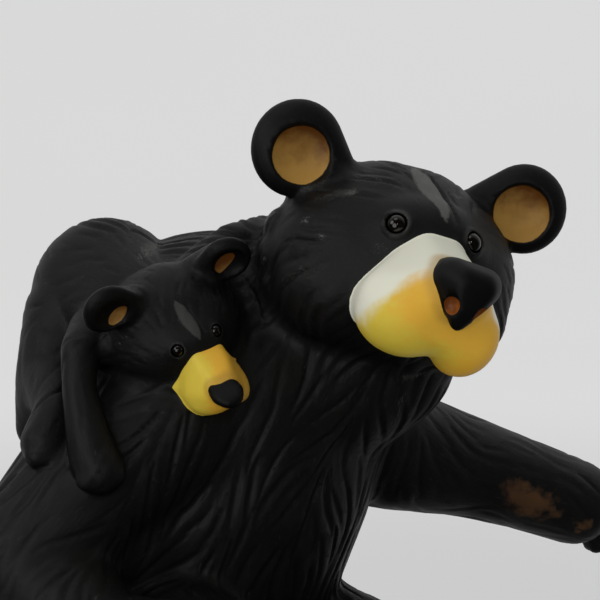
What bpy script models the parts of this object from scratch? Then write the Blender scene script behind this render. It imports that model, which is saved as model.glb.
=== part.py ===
"""A seated black bear that stretches out one arm while her cub climbs over her right shoulder.

The two bears and the low ground under them are one casting. Four glass eyes are set into it.
The front of the bear faces -Y and her left side is +X. The origin is the middle of the underside.
"""

import math
import random

import bmesh
import bpy
import numpy as np
from mathutils import Euler, Matrix, Vector
from mathutils.bvhtree import BVHTree
from mathutils.kdtree import KDTree

# Driving sizes, in metres
FIGURE_HEIGHT = 0.1522  # top of the base to the top of the raised ear
BASE_THICKNESS = 0.009
BASE_WIDTH = 0.148
BASE_LENGTH = 0.152
BASE_EDGE_RADIUS = 0.0035
MOTHER_EYE_DIAMETER = 0.0052
CUB_EYE_DIAMETER = 0.0030
EYE_FIT = 0.0003  # gap between a glass eye and its socket
SEAT_DEPTH = 0.003  # how far the figure is sunk into the base

# The sculptor's unit: the pose, the proportions and the carving are all given in it
FIGURE_UNITS = 152.2
UNIT = FIGURE_HEIGHT / FIGURE_UNITS

# The base
FIGURE_CUT = 0.4  # share of the thickness of the base at which the figure is cut off level inside it
BASE_CORNER_POWER = 2.6  # 2 is an ellipse, and more is squarer
BASE_SIDES = 48
BASE_EDGE_STEPS = 3

# Fineness of the work, in units
BODY_VOXEL = 1.5
DETAIL_VOXEL = 0.85
CAST_TRIANGLES = 7600
EYE_STEPS = 6  # rings of faces on a glass eye, with twice as many round it
CUP_STEPS = 10
NOSTRIL_STEPS = 4

# Colours
FUR_COLOUR = (0.012, 0.013, 0.013)
EYE_COLOUR = (0.006, 0.004, 0.003)

# Where the heads are and how they are turned: pitch, roll and yaw in degrees. "cup" is the radius and
# the depth of the hollow of an ear, and how far its lip lies in front. "snout" is how far the muzzle
# leans to the left in degrees, "nose" its width, height and shift, "eyes" where the left eye looks, and
# "ears" the middle, turn and size of the right ear and of the left, where the cup is on it, and how
# high its web runs out to the crown
MOTHER_HEAD = {
    "at": (16, -28, 115), "turn": (-6, 14, -29), "size": 1, "cup": (7.8, 3.6, 4.7),
    "snout": 6, "snout_width": 1, "bridge": ((-3.6, -28.5, 2), (1.8, -28.5, 2.2)), "nose": (0.97, 1, 0.8, 0),
    "eyes": (10.1, -30, 5.9), "tuft": ((3, -27, 9), (-4.5, -15, 22)),
    "ears": {-1: ((-30.5, -4, 21.3), (6, 0, -4), 0.97, (0.5, -1.6), -4.2),
             1: ((30.8, -4, 20.4), (6, 0, -12), 0.91, (-0.8, -1.5), -1.6)},
}
CUB_HEAD = {
    "at": (-33, -0.5, 101), "turn": (28, -24, -22), "size": 0.54, "cup": (8, 4.2, 4.2),
    "snout": 0, "snout_width": 0.86, "bridge": ((-4.2, -28.5, 2), (8, -31, -1)), "nose": (1.06, 0.6, -1.5, 2),
    "eyes": (10.1, -30, 8.2), "tuft": ((2.9, -24, 4.1), (0.7, -10, 19.8)),
    "ears": {-1: ((-28.4, -4, 27.4), (6, 0, -4), 1, (0.8, -0.8), -3),
             1: ((31.8, -4, 22.4), (6, 0, -18), 0.97, (0.6, 0.4), -3)},
}
HEADS = (MOTHER_HEAD, CUB_HEAD)


# Rounded masses, hulled one to the next: centre, radii
TORSO = [
    ((-2, 27, 31), (40, 37, 34)),  # seat
    ((1, 17, 56), (40, 38, 30)),  # belly
    ((4, 9, 82), (38, 35, 28)),  # chest
    ((0, 18, 100.8), (33, 30, 20.5)),  # hump
]
# Limbs and necks: balls that are hulled in pairs, each a centre and a radius
MOTHER_LIMBS = {
    "neck": [((4, 13, 96), 23.5), ((12, -10, 105), 23.5)],
    "throat": [((4, 4, 82), 30), ((21.5, -15, 92), 23.5)],
    "left_arm": [((27, 5, 74.5), 20.5), ((46, 0, 62), 16.8), ((68, -6, 55.5), 14.1), ((88, -12, 48.4), 12.6)],
    "right_arm": [((-28, 7, 76), 21), ((-46, 14, 62), 18.5), ((-61, 20, 43), 17), ((-60, -4, 26), 13),
                  ((-51, -26, 28), 10.5)],
    "right_flank": [((-22, 18, 52), 24), ((-46, 20, 46), 17)],
    "left_leg": [((21, 14, 10.5), 20.8), ((37, -15, 7.5), 12), ((50, -42, 9), 10)],
    "right_leg": [((-24, 12, 18), 23), ((-41, -20, 16), 17), ((-45, -46, 11), 12)],
}
CUB_TORSO = [
    ((-22.6, 35.3, 104.4), (19.4, 19.5, 20.5)),  # rump
    ((-29, 18, 101), (15, 16, 15)),  # chest
]
CUB_LIMBS = {
    "cub_neck": [((-30, 16, 101), 13), ((-32, 4, 100), 12)],
    "cub_right_arm": [((-43, 14, 98), 8), ((-52.9, 9.8, 95), 4.8), ((-55.9, 6.7, 86.4), 4.2),
                      ((-57, 2.2, 75.6), 5.4), ((-56.9, 0.1, 70.3), 6)],
    "cub_right_leg": [((-31, 36.3, 99), 14.4), ((-43, 32.5, 85.1), 9.4), ((-50.2, 28, 74.5), 6.6)],
    "cub_right_shin": [((-43, 32.5, 85.1), 9.4), ((-54.8, 16.8, 79.5), 5.2)],
    "cub_left_arm": [((-22, 8, 105), 9), ((-9, 2, 117.3), 7), ((0, 0, 120), 6.5)],
    "cub_left_leg": [((-16, 40, 102), 13), ((-4, 40, 103), 10), ((6, 34, 107), 7.5)],
}
# Paws and feet: a palm of hulled balls, then a row of toes from one place to another with a radius
TOE_COUNT = 5
TOE_LENGTH = 0.6  # share of the way from the tips to the last ball of the palm
PAWS = {
    "left_paw": ([((88, -12, 48.4), 12.6), ((105, -16, 42), 12)],
                 ((116.3, -28, 43.5), (115, -16.5, 29.5), 3.7)),
    "right_paw": ([((-51, -26, 28), 10.5), ((-46, -37, 27), 9.5)], ((-54, -43, 23.5), (-37, -43, 24.5), 3.3)),
    "left_foot": ([((54, -50, 8), 9.5), ((48.2, -53.9, 17), 7.5), ((59.8, -48.1, 17), 7.5),
                   ((53.5, -50.5, 16), 8)],
                  ((46.2, -58.8, 21.5), (65, -49.4, 21.5), 3.5)),
    "right_foot": ([((-47, -54, 8), 9.5), ((-54.1, -54.8, 17), 7.5), ((-41.9, -59.2, 17), 7.5),
                    ((-47.5, -56, 16), 8)],
                   ((-59.1, -56.7, 22), (-39.3, -63.9, 22), 3.5)),
    "cub_right_paw": ([((-56.9, 0.1, 70.3), 6), ((-56.7, -1.9, 67.6), 6)],
                      ((-60.9, -1.6, 65.3), (-54.6, -4.7, 66.2), 2.6)),
    "cub_right_foot": ([((-54.8, 16.8, 79.5), 5.4), ((-60.6, 14, 72.8), 6)],
                       ((-64.5, 12.6, 70), (-60.6, 10.4, 69), 2.8)),
    "cub_left_paw": ([((0, 0, 120), 6.3), ((7, -1, 119.2), 5.2)], ((11, -4, 117.5), (10, 2, 118.5), 2.6)),
    "cub_left_foot": ([((6, 34, 107), 7), ((12, 29, 107), 6)], ((15, 24, 104), (17, 30, 104), 2.8)),
}

# The head, with its own origin in the middle of the skull and its nose towards -Y
SKULL = ((0, 0, -2), (32.2, 30, 25))
CROWN_SIDE = ((3, 2, 6), (21, 25, 18.6))
SNOUT_PIVOT = (0, 0, -17)
BROW = ((0, -19, 3), (18.5, 13, 12.5))
CHEEK = ((13.7, -6, -10), (16.5, 18, 14.5))
BRIDGE_RADIUS = 4
MUZZLE_SIDE = [  # front, rear corner, side and lip
    ((2.5, -45.5, -10), 7.5), ((9.8, -21, -14.4), 5.8), ((8.3, -33.5, -13.5), 9), ((4, -41, -14), 8.3),
]
JOWLS = [  # each hulled with the lip in front of it
    [((-5, -33, -15.8), (12, 14, 9.9)), ((-4, -41, -14), 8.3)],
    [((10.6, -33.5, -16.4), (7.3, 14, 9.6)), ((4, -41, -14), 8.3)],
]
NOSE_SIDE = [  # wing, back of the top, front, foot and tip
    ((4.1, -52, -6.2), (4.3, 5.4, 4.6)),
    ((3.4, -46.5, -4.2), 3.2),
    ((2.4, -56, -7.2), (3.8, 3.8, 4.2)),
    ((1.4, -55, -12.5), (2.4, 3, 3)),
    ((0, -53.5, -16.2), 1.9),
]
NOSE_MIDDLE = -10.5  # height of the middle of the nose
NOSTRIL = ((3.7, -56, -13.2), (1.9, 3, 2.3))
EYE_SINK = 0.45  # share of the radius that the middle of an eye lies below the skin
EYELID_HEIGHT = 0.7
EYELID_WIDTH = 0.7
EAR_RADII = (12.1, 5.5, 12.6)
EAR_ROOT = [((-2.5, 2.5, -1.5), 8.5), ((-15, 5, -10.5), 9.5)]  # in the frame of the left ear
EAR_WEB = (13, 1)  # how far the web of an ear runs towards the crown, and back
EAR_WEB_RADIUS = 4

# The ruff: pointed locks from one ear round the jaw to the other, in the head's frame
RUFF_COUNT = 13
RUFF_RADII = (33.5, 28.5)  # across and down
RUFF_CENTRE = (0, -1, -3)
RUFF_SPREAD = 205  # degrees of the ring that the ruff covers, the chin in its middle
RUFF_BALLS = ((2, 0.85, 5.5), (10, 0.86, 3.4), (18, 0.78, 0.9))  # how far back, share of the ring, radius

# Locks of fur that are cut with a gouge
LOCK_SEED = 12
LOCK_LENGTH = 24
LOCK_WIDTH = 3.9
LOCK_DEPTH = 1.1
LOCK_STEPS = 9
FUR_BONES = [  # start, end, how many locks
    ((8, -6, 104), (1, 18, 62), 62),
    ((2, 18, 70), (-2, 30, 20), 50),
    ((24, 8, 74), (86, -12, 49), 30),
    ((-30, 8, 76), (-60, 19, 46), 24),
    ((-60, 6, 33), (-52, -24, 28), 8),
    ((24, 8, 16), (49, -42, 14), 12),
    ((-26, 8, 18), (-45, -48, 15), 14),
    ((-31, 8, 102), (-26, 48, 106), 26),
    ((-50, 10.5, 95), (-57, 1, 72), 5),
    ((-40, 36, 94), (-50, 28, 76), 6),
]
HEAD_LOCKS = 26
HEAD_LOCK_SHARE = 0.6  # the locks on the heads are smaller by this
TUFT_WIDTH = 2.6
TUFT_DEPTH = 1.0


def new_object(name, mesh):
    made = bpy.data.objects.new(name, mesh)
    bpy.context.scene.collection.objects.link(made)
    return made


def material(name, colour, roughness):
    made = bpy.data.materials.new(name)
    made.use_nodes = True
    shader = made.node_tree.nodes["Principled BSDF"]
    shader.inputs["Base Color"].default_value = (*colour, 1)
    shader.inputs["Roughness"].default_value = roughness
    return made


def placed(centre, radii=(1, 1, 1), turn=(0, 0, 0)):
    """The matrix that puts a unit shape in its place."""
    angles = Euler([math.radians(a) for a in turn])
    return Matrix.Translation(centre) @ angles.to_matrix().to_4x4() @ Matrix.Diagonal((*radii, 1))


def head_matrix(head):
    """From a head's own frame, in units, to the figure's frame."""
    return placed(head["at"], (head["size"],) * 3, head["turn"])


def snout_matrix(head):
    """As head_matrix, for the muzzle and the nose."""
    lean = Matrix.Rotation(math.radians(head["snout"]), 4, "Y")
    pivot = Matrix.Translation(SNOUT_PIVOT)
    wide = Matrix.Diagonal((head["snout_width"], 1, 1, 1))
    return head_matrix(head) @ pivot @ lean @ pivot.inverted() @ wide


def nose_matrix(head):
    wide, high, aside, up = head["nose"]
    middle = Matrix.Translation((0, 0, NOSE_MIDDLE))
    shifted = Matrix.Translation((aside, 0, NOSE_MIDDLE + up))
    return snout_matrix(head) @ shifted @ Matrix.Diagonal((wide, 1, high, 1)) @ middle.inverted()


def mirrored(place):
    x, y, z = place
    return (-x, y, z)


def add_mesh(work, mesh):
    """Move a mesh into a bmesh."""
    work.from_mesh(mesh)
    bpy.data.meshes.remove(mesh)


def add_mass(work, centre, radii, frame=Matrix()):
    bmesh.ops.create_icosphere(work, subdivisions=4, radius=1, matrix=frame @ placed(centre, radii))


def add_hull(work, masses, frame=Matrix()):
    """The tight skin round several rounded masses, each a centre with a radius or three radii."""
    hull = bmesh.new()
    for centre, size in masses:
        radii = size if isinstance(size, tuple) else (size,) * 3
        bmesh.ops.create_icosphere(hull, subdivisions=4, radius=1, matrix=frame @ placed(centre, radii))
    wrapped = bmesh.ops.convex_hull(hull, input=hull.verts)
    spare = {v for v in wrapped["geom_interior"] + wrapped["geom_unused"]
             if isinstance(v, bmesh.types.BMVert)}
    bmesh.ops.delete(hull, geom=list(spare), context="VERTS")
    skin = bpy.data.meshes.new("hull")
    hull.to_mesh(skin)
    hull.free()
    add_mesh(work, skin)


def add_limb(work, masses, frame=Matrix()):
    """A chain of rounded masses, each hulled to the next."""
    for pair in zip(masses, masses[1:]):
        add_hull(work, pair, frame)


def both_sides(masses):
    return (masses, [(mirrored(centre), size) for centre, size in masses])


def evaluated_mesh(obj):
    """The mesh of an object with its modifiers, and the object itself removed."""
    bpy.context.view_layer.update()
    graph = bpy.context.evaluated_depsgraph_get()
    mesh = bpy.data.meshes.new_from_object(obj.evaluated_get(graph))
    bpy.data.objects.remove(obj)
    return mesh


def fused(work, voxel, softness):
    """One skin over all the shapes in a bmesh, with its creases softened. The bmesh is used up."""
    rough = bpy.data.meshes.new("rough")
    work.to_mesh(rough)
    work.free()
    obj = new_object("rough", rough)
    remesh = obj.modifiers.new("one skin", "REMESH")
    remesh.mode = "VOXEL"
    remesh.voxel_size = voxel
    smooth = obj.modifiers.new("soften", "SMOOTH")
    smooth.factor = 0.5
    smooth.iterations = softness
    return evaluated_mesh(obj)


def bodies_block():
    """The two bodies with their limbs, well softened, so that one mass flows into the next."""
    mother = bmesh.new()
    add_limb(mother, TORSO)
    for masses in MOTHER_LIMBS.values():
        add_limb(mother, masses)
    cub = bmesh.new()
    add_limb(cub, CUB_TORSO)
    for masses in CUB_LIMBS.values():
        add_limb(cub, masses)
    return [fused(mother, BODY_VOXEL, 12), fused(cub, DETAIL_VOXEL, 8)]


def paws_block():
    work = bmesh.new()
    for palm, (first, last, radius) in PAWS.values():
        add_hull(work, palm)
        for toe in range(TOE_COUNT):
            tip = Vector(first).lerp(last, toe / (TOE_COUNT - 1))
            knuckle = tip.lerp(palm[-1][0], TOE_LENGTH)
            add_hull(work, [(tip, radius), (knuckle, radius)])
    return fused(work, DETAIL_VOXEL, 2)


def skull_block(head):
    work = bmesh.new()
    frame = head_matrix(head)
    add_mass(work, *SKULL, frame)
    add_mass(work, *BROW, frame)
    for side in both_sides([CHEEK, CROWN_SIDE]):
        for centre, radii in side:
            add_mass(work, centre, radii, frame)
    for side in (-1, 1):
        root = [((side * x, y, z), radius) for (x, y, z), radius in EAR_ROOT]
        add_limb(work, root, ear_frame(head, side))
    return fused(work, BODY_VOXEL * head["size"], 8)


def ruff_block(head):
    """Pointed locks that lie back from the cheeks and the jaw over the neck."""
    work = bmesh.new()
    frame = head_matrix(head) @ Matrix.Translation(RUFF_CENTRE)
    across, down = RUFF_RADII
    for lock in range(RUFF_COUNT):
        angle = math.radians((lock / (RUFF_COUNT - 1) - 0.5) * RUFF_SPREAD)
        out = Vector((across * math.sin(angle), 0, -down * math.cos(angle)))
        masses = [(out * share + Vector((0, back, 0)), radius) for back, share, radius in RUFF_BALLS]
        add_limb(work, masses, frame)
    return fused(work, DETAIL_VOXEL * head["size"], 4)


def muzzle_block(head):
    work = bmesh.new()
    frame = snout_matrix(head)
    left, right = both_sides(MUZZLE_SIDE)
    add_hull(work, [(end, BRIDGE_RADIUS) for end in head["bridge"]] + left + right, frame)
    for jowl in JOWLS:
        add_hull(work, jowl, frame)
    return fused(work, DETAIL_VOXEL * head["size"], 10)


def nose_block(head):
    work = bmesh.new()
    left, right = both_sides(NOSE_SIDE)
    add_hull(work, left + right, nose_matrix(head))
    return fused(work, DETAIL_VOXEL * head["size"] * 0.7, 2)


def ear_frame(head, side):
    """From the frame of the right ear (-1) or the left (1) to the figure's frame."""
    middle, turn = head["ears"][side][:2]
    return head_matrix(head) @ placed(middle, turn=turn)


def add_ears(work, head):
    """Two thick rounded discs. Their cups are cut later."""
    wide, deep, high = EAR_RADII
    for side, (_, _, size, _, web) in head["ears"].items():
        disc = ((0, 0, 0), (wide * size, deep, high * size))
        end = ((-side * EAR_WEB[0], EAR_WEB[1], web), EAR_WEB_RADIUS)
        add_hull(work, [disc, end], ear_frame(head, side))


def cast_form():
    """Everything that was modelled in one, as a fine skin."""
    work = bmesh.new()
    blocks = bodies_block() + [paws_block()]
    for head in (MOTHER_HEAD, CUB_HEAD):
        blocks += [skull_block(head), ruff_block(head), muzzle_block(head), nose_block(head)]
        add_ears(work, head)
    for block in blocks:
        add_mesh(work, block)
    return fused(work, DETAIL_VOXEL, 3)


def places_of(mesh):
    places = np.empty(len(mesh.vertices) * 3)
    mesh.vertices.foreach_get("co", places)
    return places.reshape(-1, 3)


def move_points(mesh, places):
    mesh.vertices.foreach_set("co", places.ravel())
    mesh.update()


def skin_tree(mesh):
    mesh.calc_loop_triangles()
    points = [v.co for v in mesh.vertices]
    return BVHTree.FromPolygons(points, [tuple(t.vertices) for t in mesh.loop_triangles])


def eye_places(tree, head, diameter):
    """The middle of each eye, in units, with the outward direction there."""
    frame = head_matrix(head)
    radius = diameter / 2 / UNIT
    found = []
    aside, forward, up = head["eyes"]
    for x in (-aside, aside):
        aim = frame @ Vector((x, forward, up))
        start = frame @ Vector((x, 0, up))
        hit, normal, _, _ = tree.ray_cast(start, aim - start)
        found.append((hit - normal * radius * EYE_SINK, normal))
    return found


def raise_lids(mesh, eyes, diameter, size):
    """A raised ring round each eye."""
    places = places_of(mesh)
    for middle, normal in eyes:
        away = places - np.array(middle)
        height = away @ np.array(normal)
        reach = np.linalg.norm(away - np.outer(height, normal), axis=1)
        ring = diameter / 2 / UNIT + EYELID_WIDTH * size * 0.6
        lift = EYELID_HEIGHT * size * np.exp(-((reach - ring) / (EYELID_WIDTH * size)) ** 2)
        lift[np.abs(height) > 2 * ring] = 0
        places += np.outer(lift, normal)
    move_points(mesh, places)


def traced(tree, start, flow, length):
    """A path over the skin from a start, along a direction."""
    path = [start]
    step = length / LOCK_STEPS
    heading = flow
    for _ in range(LOCK_STEPS):
        _, normal, _, _ = tree.find_nearest(path[-1])
        heading = (heading - normal * heading.dot(normal)).normalized()
        place, _, _, _ = tree.find_nearest(path[-1] + heading * step)
        path.append(place)
    return path


def gouge(places, cuts, near, path, width, depth):
    """Add one tapering groove along a path to the depths that are cut."""
    steps = len(path) - 1
    middle = path[steps // 2]
    reach = (path[0] - path[-1]).length / 2 + 2 * width
    index = np.array([found[1] for found in near.find_range(middle, reach)])
    if not len(index):
        return
    knots = np.array(path)
    fine = np.linspace(0, steps, 4 * steps + 1)
    line = np.stack([np.interp(fine, range(steps + 1), knots[:, axis]) for axis in range(3)], axis=1)
    gaps = np.linalg.norm(places[index][:, None] - line[None], axis=2)
    nearest = gaps.argmin(axis=1)
    along = nearest / (len(line) - 1)
    wide = width * (0.35 + 0.65 * np.sin(math.pi * np.clip(along, 0.02, 0.98) ** 0.7))
    shape = np.clip(1 - (gaps.min(axis=1) / wide) ** 2, 0, 1) ** 1.5
    cut = depth * shape * np.sin(math.pi * np.clip(along, 0, 1)) ** 0.6
    cuts[index] = np.maximum(cuts[index], cut)


def lock_starts(tree):
    """Where each gouge is set and which way it runs: places on the skin round the bones of the fur."""
    chance = random.Random(LOCK_SEED)
    for start, end, count in FUR_BONES:
        bone = Vector(end) - Vector(start)
        aside = bone.orthogonal().normalized()
        for lock in range(count):
            share = (lock + chance.random()) / count
            turn = Matrix.Rotation(lock * 2.4 + chance.random(), 3, bone)
            hit, _, _, _ = tree.ray_cast(Vector(start) + bone * share, turn @ aside)
            flow = bone.normalized() + 0.12 * Vector([chance.uniform(-1, 1) for _ in range(3)])
            yield hit, flow, 1.0
    for head in (MOTHER_HEAD, CUB_HEAD):
        frame = head_matrix(head)
        for lock in range(HEAD_LOCKS):
            angle = (lock + 0.5) / HEAD_LOCKS * 2 * math.pi
            local = Vector((math.sin(angle), -0.1 - 0.5 * chance.random(), math.cos(angle)))
            hit, _, _, _ = tree.ray_cast(frame.translation, frame.to_3x3() @ local)
            flow = frame.to_3x3() @ Vector((local.x * 0.3, 1, local.z * 0.3 - 0.25))
            yield hit, flow.normalized(), HEAD_LOCK_SHARE * head["size"]


def comb_fur(mesh):
    """Cut the locks of the coat, and the tuft in the middle of each forehead."""
    tree = skin_tree(mesh)
    places = places_of(mesh)
    near = KDTree(len(places))
    for index, place in enumerate(places):
        near.insert(place, index)
    near.balance()
    cuts = np.zeros(len(places))
    for hit, flow, share in lock_starts(tree):
        path = traced(tree, hit, flow, LOCK_LENGTH * share)
        gouge(places, cuts, near, path, LOCK_WIDTH * share, LOCK_DEPTH * share)
    for head in (MOTHER_HEAD, CUB_HEAD):
        frame = head_matrix(head)
        ends = []
        for end in head["tuft"]:
            hit, _, _, _ = tree.ray_cast(frame.translation, frame @ Vector(end) - frame.translation)
            ends.append(hit)
        path = traced(tree, ends[0], ends[1] - ends[0], (ends[1] - ends[0]).length)
        gouge(places, cuts, near, path, TUFT_WIDTH * head["size"], TUFT_DEPTH * head["size"])
    normals = np.empty(len(places) * 3)
    mesh.vertices.foreach_get("normal", normals)
    move_points(mesh, places - normals.reshape(-1, 3) * cuts[:, None])


def thinned(mesh, triangles):
    """The same form with fewer faces, small where it bends most."""
    obj = new_object("thinned", mesh)
    split = obj.modifiers.new("triangles", "TRIANGULATE")
    split.quad_method = "SHORTEST_DIAGONAL"
    mesh = evaluated_mesh(obj)
    obj = new_object("thinned", mesh)
    thin = obj.modifiers.new("thin", "DECIMATE")
    thin.ratio = triangles / len(mesh.polygons)
    return evaluated_mesh(obj)


def add_ball(name, frame, steps):
    """A round cutter or piece, from a unit ball put in its place by a matrix."""
    work = bmesh.new()
    bmesh.ops.create_uvsphere(work, u_segments=2 * steps, v_segments=steps, radius=1, matrix=frame)
    mesh = bpy.data.meshes.new(name)
    work.to_mesh(mesh)
    work.free()
    return new_object(name, mesh)


def combine(obj, other, operation):
    """Add or cut another object, which is used up."""
    change = obj.modifiers.new(operation.lower(), "BOOLEAN")
    change.operation = operation
    change.solver = "EXACT"
    change.object = other
    mesh = evaluated_mesh(obj)
    bpy.data.objects.remove(other)
    return new_object("combined", mesh)


def facing(normal):
    """The turn that points a ball's pole outwards."""
    return normal.to_track_quat("Z", "Y").to_matrix().to_4x4()


def below(height):
    """A cutter for all that lies under a height, in metres."""
    work = bmesh.new()
    size = 4 * FIGURE_HEIGHT
    middle = Matrix.Translation((0, 0, height - size / 2))
    bmesh.ops.create_cube(work, size=size, matrix=middle)
    mesh = bpy.data.meshes.new("below")
    work.to_mesh(mesh)
    work.free()
    return new_object("below", mesh)


def base_slab():
    """Low ground with a rounded upper edge, in metres, its underside at z = 0."""
    profile = [(0.0, 0.0), (0.0, BASE_THICKNESS - BASE_EDGE_RADIUS)]
    for step in range(1, BASE_EDGE_STEPS + 1):
        angle = math.pi / 2 * step / BASE_EDGE_STEPS
        inset = BASE_EDGE_RADIUS * (1 - math.cos(angle))
        profile.append((inset, BASE_THICKNESS - BASE_EDGE_RADIUS * (1 - math.sin(angle))))
    work = bmesh.new()
    rings = []
    for inset, height in profile:
        ring = []
        for side in range(BASE_SIDES):
            angle = 2 * math.pi * side / BASE_SIDES
            x, y = (math.copysign(abs(part) ** (2 / BASE_CORNER_POWER), part) for part in
                    (math.cos(angle), math.sin(angle)))
            place = (x * (BASE_WIDTH / 2 - inset), y * (BASE_LENGTH / 2 - inset), height)
            ring.append(work.verts.new(place))
        rings.append(ring)
    for lower, upper in zip(rings, rings[1:]):
        for side in range(BASE_SIDES):
            after = (side + 1) % BASE_SIDES
            work.faces.new((lower[side], lower[after], upper[after], upper[side]))
    work.faces.new(reversed(rings[0]))
    work.faces.new(rings[-1])
    mesh = bpy.data.meshes.new("base")
    work.to_mesh(mesh)
    work.free()
    return new_object("base", mesh)


def main():
    for obj in list(bpy.data.objects):
        bpy.data.objects.remove(obj)

    form = cast_form()
    comb_fur(form)
    eyes = {}
    for owner, head, diameter in (
        ("mother", MOTHER_HEAD, MOTHER_EYE_DIAMETER),
        ("cub", CUB_HEAD, CUB_EYE_DIAMETER),
    ):
        found = eye_places(skin_tree(form), head, diameter)
        raise_lids(form, found, diameter, head["size"])
        for side, place in zip(("right", "left"), found):
            eyes[f"{owner}_eye_{side}"] = (*place, diameter / 2)

    to_metres = Matrix.Translation((0, 0, BASE_THICKNESS - SEAT_DEPTH)) @ Matrix.Scale(UNIT, 4)
    cast = new_object("cast", thinned(form, CAST_TRIANGLES))
    cast.data.transform(to_metres)
    for head in (MOTHER_HEAD, CUB_HEAD):
        steps = CUP_STEPS if head is MOTHER_HEAD else CUP_STEPS // 2
        radius, depth, face = head["cup"]
        for side, (_, _, _, (across, up), _) in head["ears"].items():
            cup = ear_frame(head, side) @ placed((across, -face, up), (radius, depth, radius))
            cast = combine(cast, add_ball("cup", to_metres @ cup, steps), "DIFFERENCE")
            x, y, z = NOSTRIL[0]
            nostril = nose_matrix(head) @ placed((side * x, y, z), NOSTRIL[1])
            cast = combine(cast, add_ball("nostril", to_metres @ nostril, NOSTRIL_STEPS), "DIFFERENCE")
    for middle, normal, radius in eyes.values():
        place = Matrix.Translation(to_metres @ middle) @ facing(normal)
        socket = place @ Matrix.Scale(radius + EYE_FIT, 4)
        cast = combine(cast, add_ball("socket", socket, EYE_STEPS), "DIFFERENCE")
    cast = combine(cast, below(FIGURE_CUT * BASE_THICKNESS), "DIFFERENCE")
    cast = combine(cast, base_slab(), "UNION")
    cast.name = "bear_and_cub"
    cast.data.name = "bear_and_cub"
    cast.data.materials.clear()
    cast.data.materials.append(material("black_paint", FUR_COLOUR, 0.6))
    cast.data.set_sharp_from_angle(angle=math.radians(60))

    glass = material("dark_glass", EYE_COLOUR, 0.05)
    for name, (middle, normal, radius) in eyes.items():
        eye = add_ball(name, Matrix.Scale(radius, 4), EYE_STEPS)
        eye.matrix_world = Matrix.Translation(to_metres @ middle) @ facing(normal)
        eye.data.shade_smooth()
        eye.data.materials.append(glass)


main()
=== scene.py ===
"""The looks of a seated black bear that stretches out one arm while her cub climbs over her shoulder.

The casting is modelled again from the same masses as the solid, at a finer grain, so that each lock
of the coat can be carved. It is then painted by shaders that read what the carving left on the skin.
The front of the bear faces -Y and her left side is +X.
"""

import math
import random

import bmesh
import bpy
import numpy as np
from mathutils import Euler, Matrix, Vector
from mathutils.bvhtree import BVHTree
from mathutils.kdtree import KDTree


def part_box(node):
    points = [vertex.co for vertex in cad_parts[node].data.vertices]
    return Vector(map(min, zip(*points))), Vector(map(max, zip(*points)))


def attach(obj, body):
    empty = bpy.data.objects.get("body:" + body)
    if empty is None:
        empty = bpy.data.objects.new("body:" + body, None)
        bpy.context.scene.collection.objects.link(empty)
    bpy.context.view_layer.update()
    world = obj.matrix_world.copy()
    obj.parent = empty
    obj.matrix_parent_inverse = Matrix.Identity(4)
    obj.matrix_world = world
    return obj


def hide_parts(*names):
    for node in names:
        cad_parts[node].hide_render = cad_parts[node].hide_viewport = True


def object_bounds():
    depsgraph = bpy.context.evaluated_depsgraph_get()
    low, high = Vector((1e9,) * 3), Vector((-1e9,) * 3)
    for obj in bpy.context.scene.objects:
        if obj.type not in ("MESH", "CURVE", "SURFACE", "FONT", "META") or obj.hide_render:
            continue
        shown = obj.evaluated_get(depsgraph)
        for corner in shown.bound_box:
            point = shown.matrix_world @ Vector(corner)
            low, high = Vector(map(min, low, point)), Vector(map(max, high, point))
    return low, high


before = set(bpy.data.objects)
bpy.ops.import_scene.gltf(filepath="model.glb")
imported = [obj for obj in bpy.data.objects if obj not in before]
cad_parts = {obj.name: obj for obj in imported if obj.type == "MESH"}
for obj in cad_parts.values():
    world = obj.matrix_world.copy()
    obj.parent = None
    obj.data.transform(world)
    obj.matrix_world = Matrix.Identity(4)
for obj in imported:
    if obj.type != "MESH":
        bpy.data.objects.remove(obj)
cad_low, cad_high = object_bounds()

# The sculptor's unit, about a millimetre: the pose, the proportions and the carving are given in it
CAST_HEIGHT = 161.2  # units from the underside of the base to the top of the raised ear
UNIT = (cad_high.z - cad_low.z) / CAST_HEIGHT
LIFT = 6.0  # the figure's own origin lies this far above the underside, in units
TO_METRES = Matrix.Scale(UNIT, 4) @ Matrix.Translation((0, 0, LIFT))

# Fineness of the work, in units
BODY_VOXEL = 1.5
DETAIL_VOXEL = 0.85
FINE_VOXEL = 0.55
FINE_SOFTNESS = 7
CASTING_TRIANGLES = 186000
BALL_STEPS = {"nostril": 10, "socket": 20, "glass": 24}
CUTTER_SIZE = 600
# Rounds of smoothing of each block
SOFTNESS = {"mother": 12, "cub": 8, "paws": 2, "skull": 8, "ruff": 6, "muzzle": 14, "nose": 2}
NOSE_FINENESS = 0.7  # voxels of a nose, as a share of those of its muzzle

# The base
BASE_THICKNESS = 9.0
BASE_WIDTH = 148.0
BASE_LENGTH = 152.0
BASE_EDGE_RADIUS = 3.5
BASE_CORNER_POWER = 2.6
BASE_SIDES = 160
BASE_EDGE_STEPS = 8
FIGURE_CUT = 0.4
GROUND_RINGS = 16
GROUND_SWELL = 0.45  # about how far the bumps in the ground rise and sink
GROUND_WAVES = [  # how fast each wave turns along x and y, where it starts and its share
    (0.13, 0.06, 0, 0.6), (-0.07, 0.12, 1.5, 0.6), (0.33, 0.27, 2, 0.4), (-0.41, 0.36, 0, 0.4),
]

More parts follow.
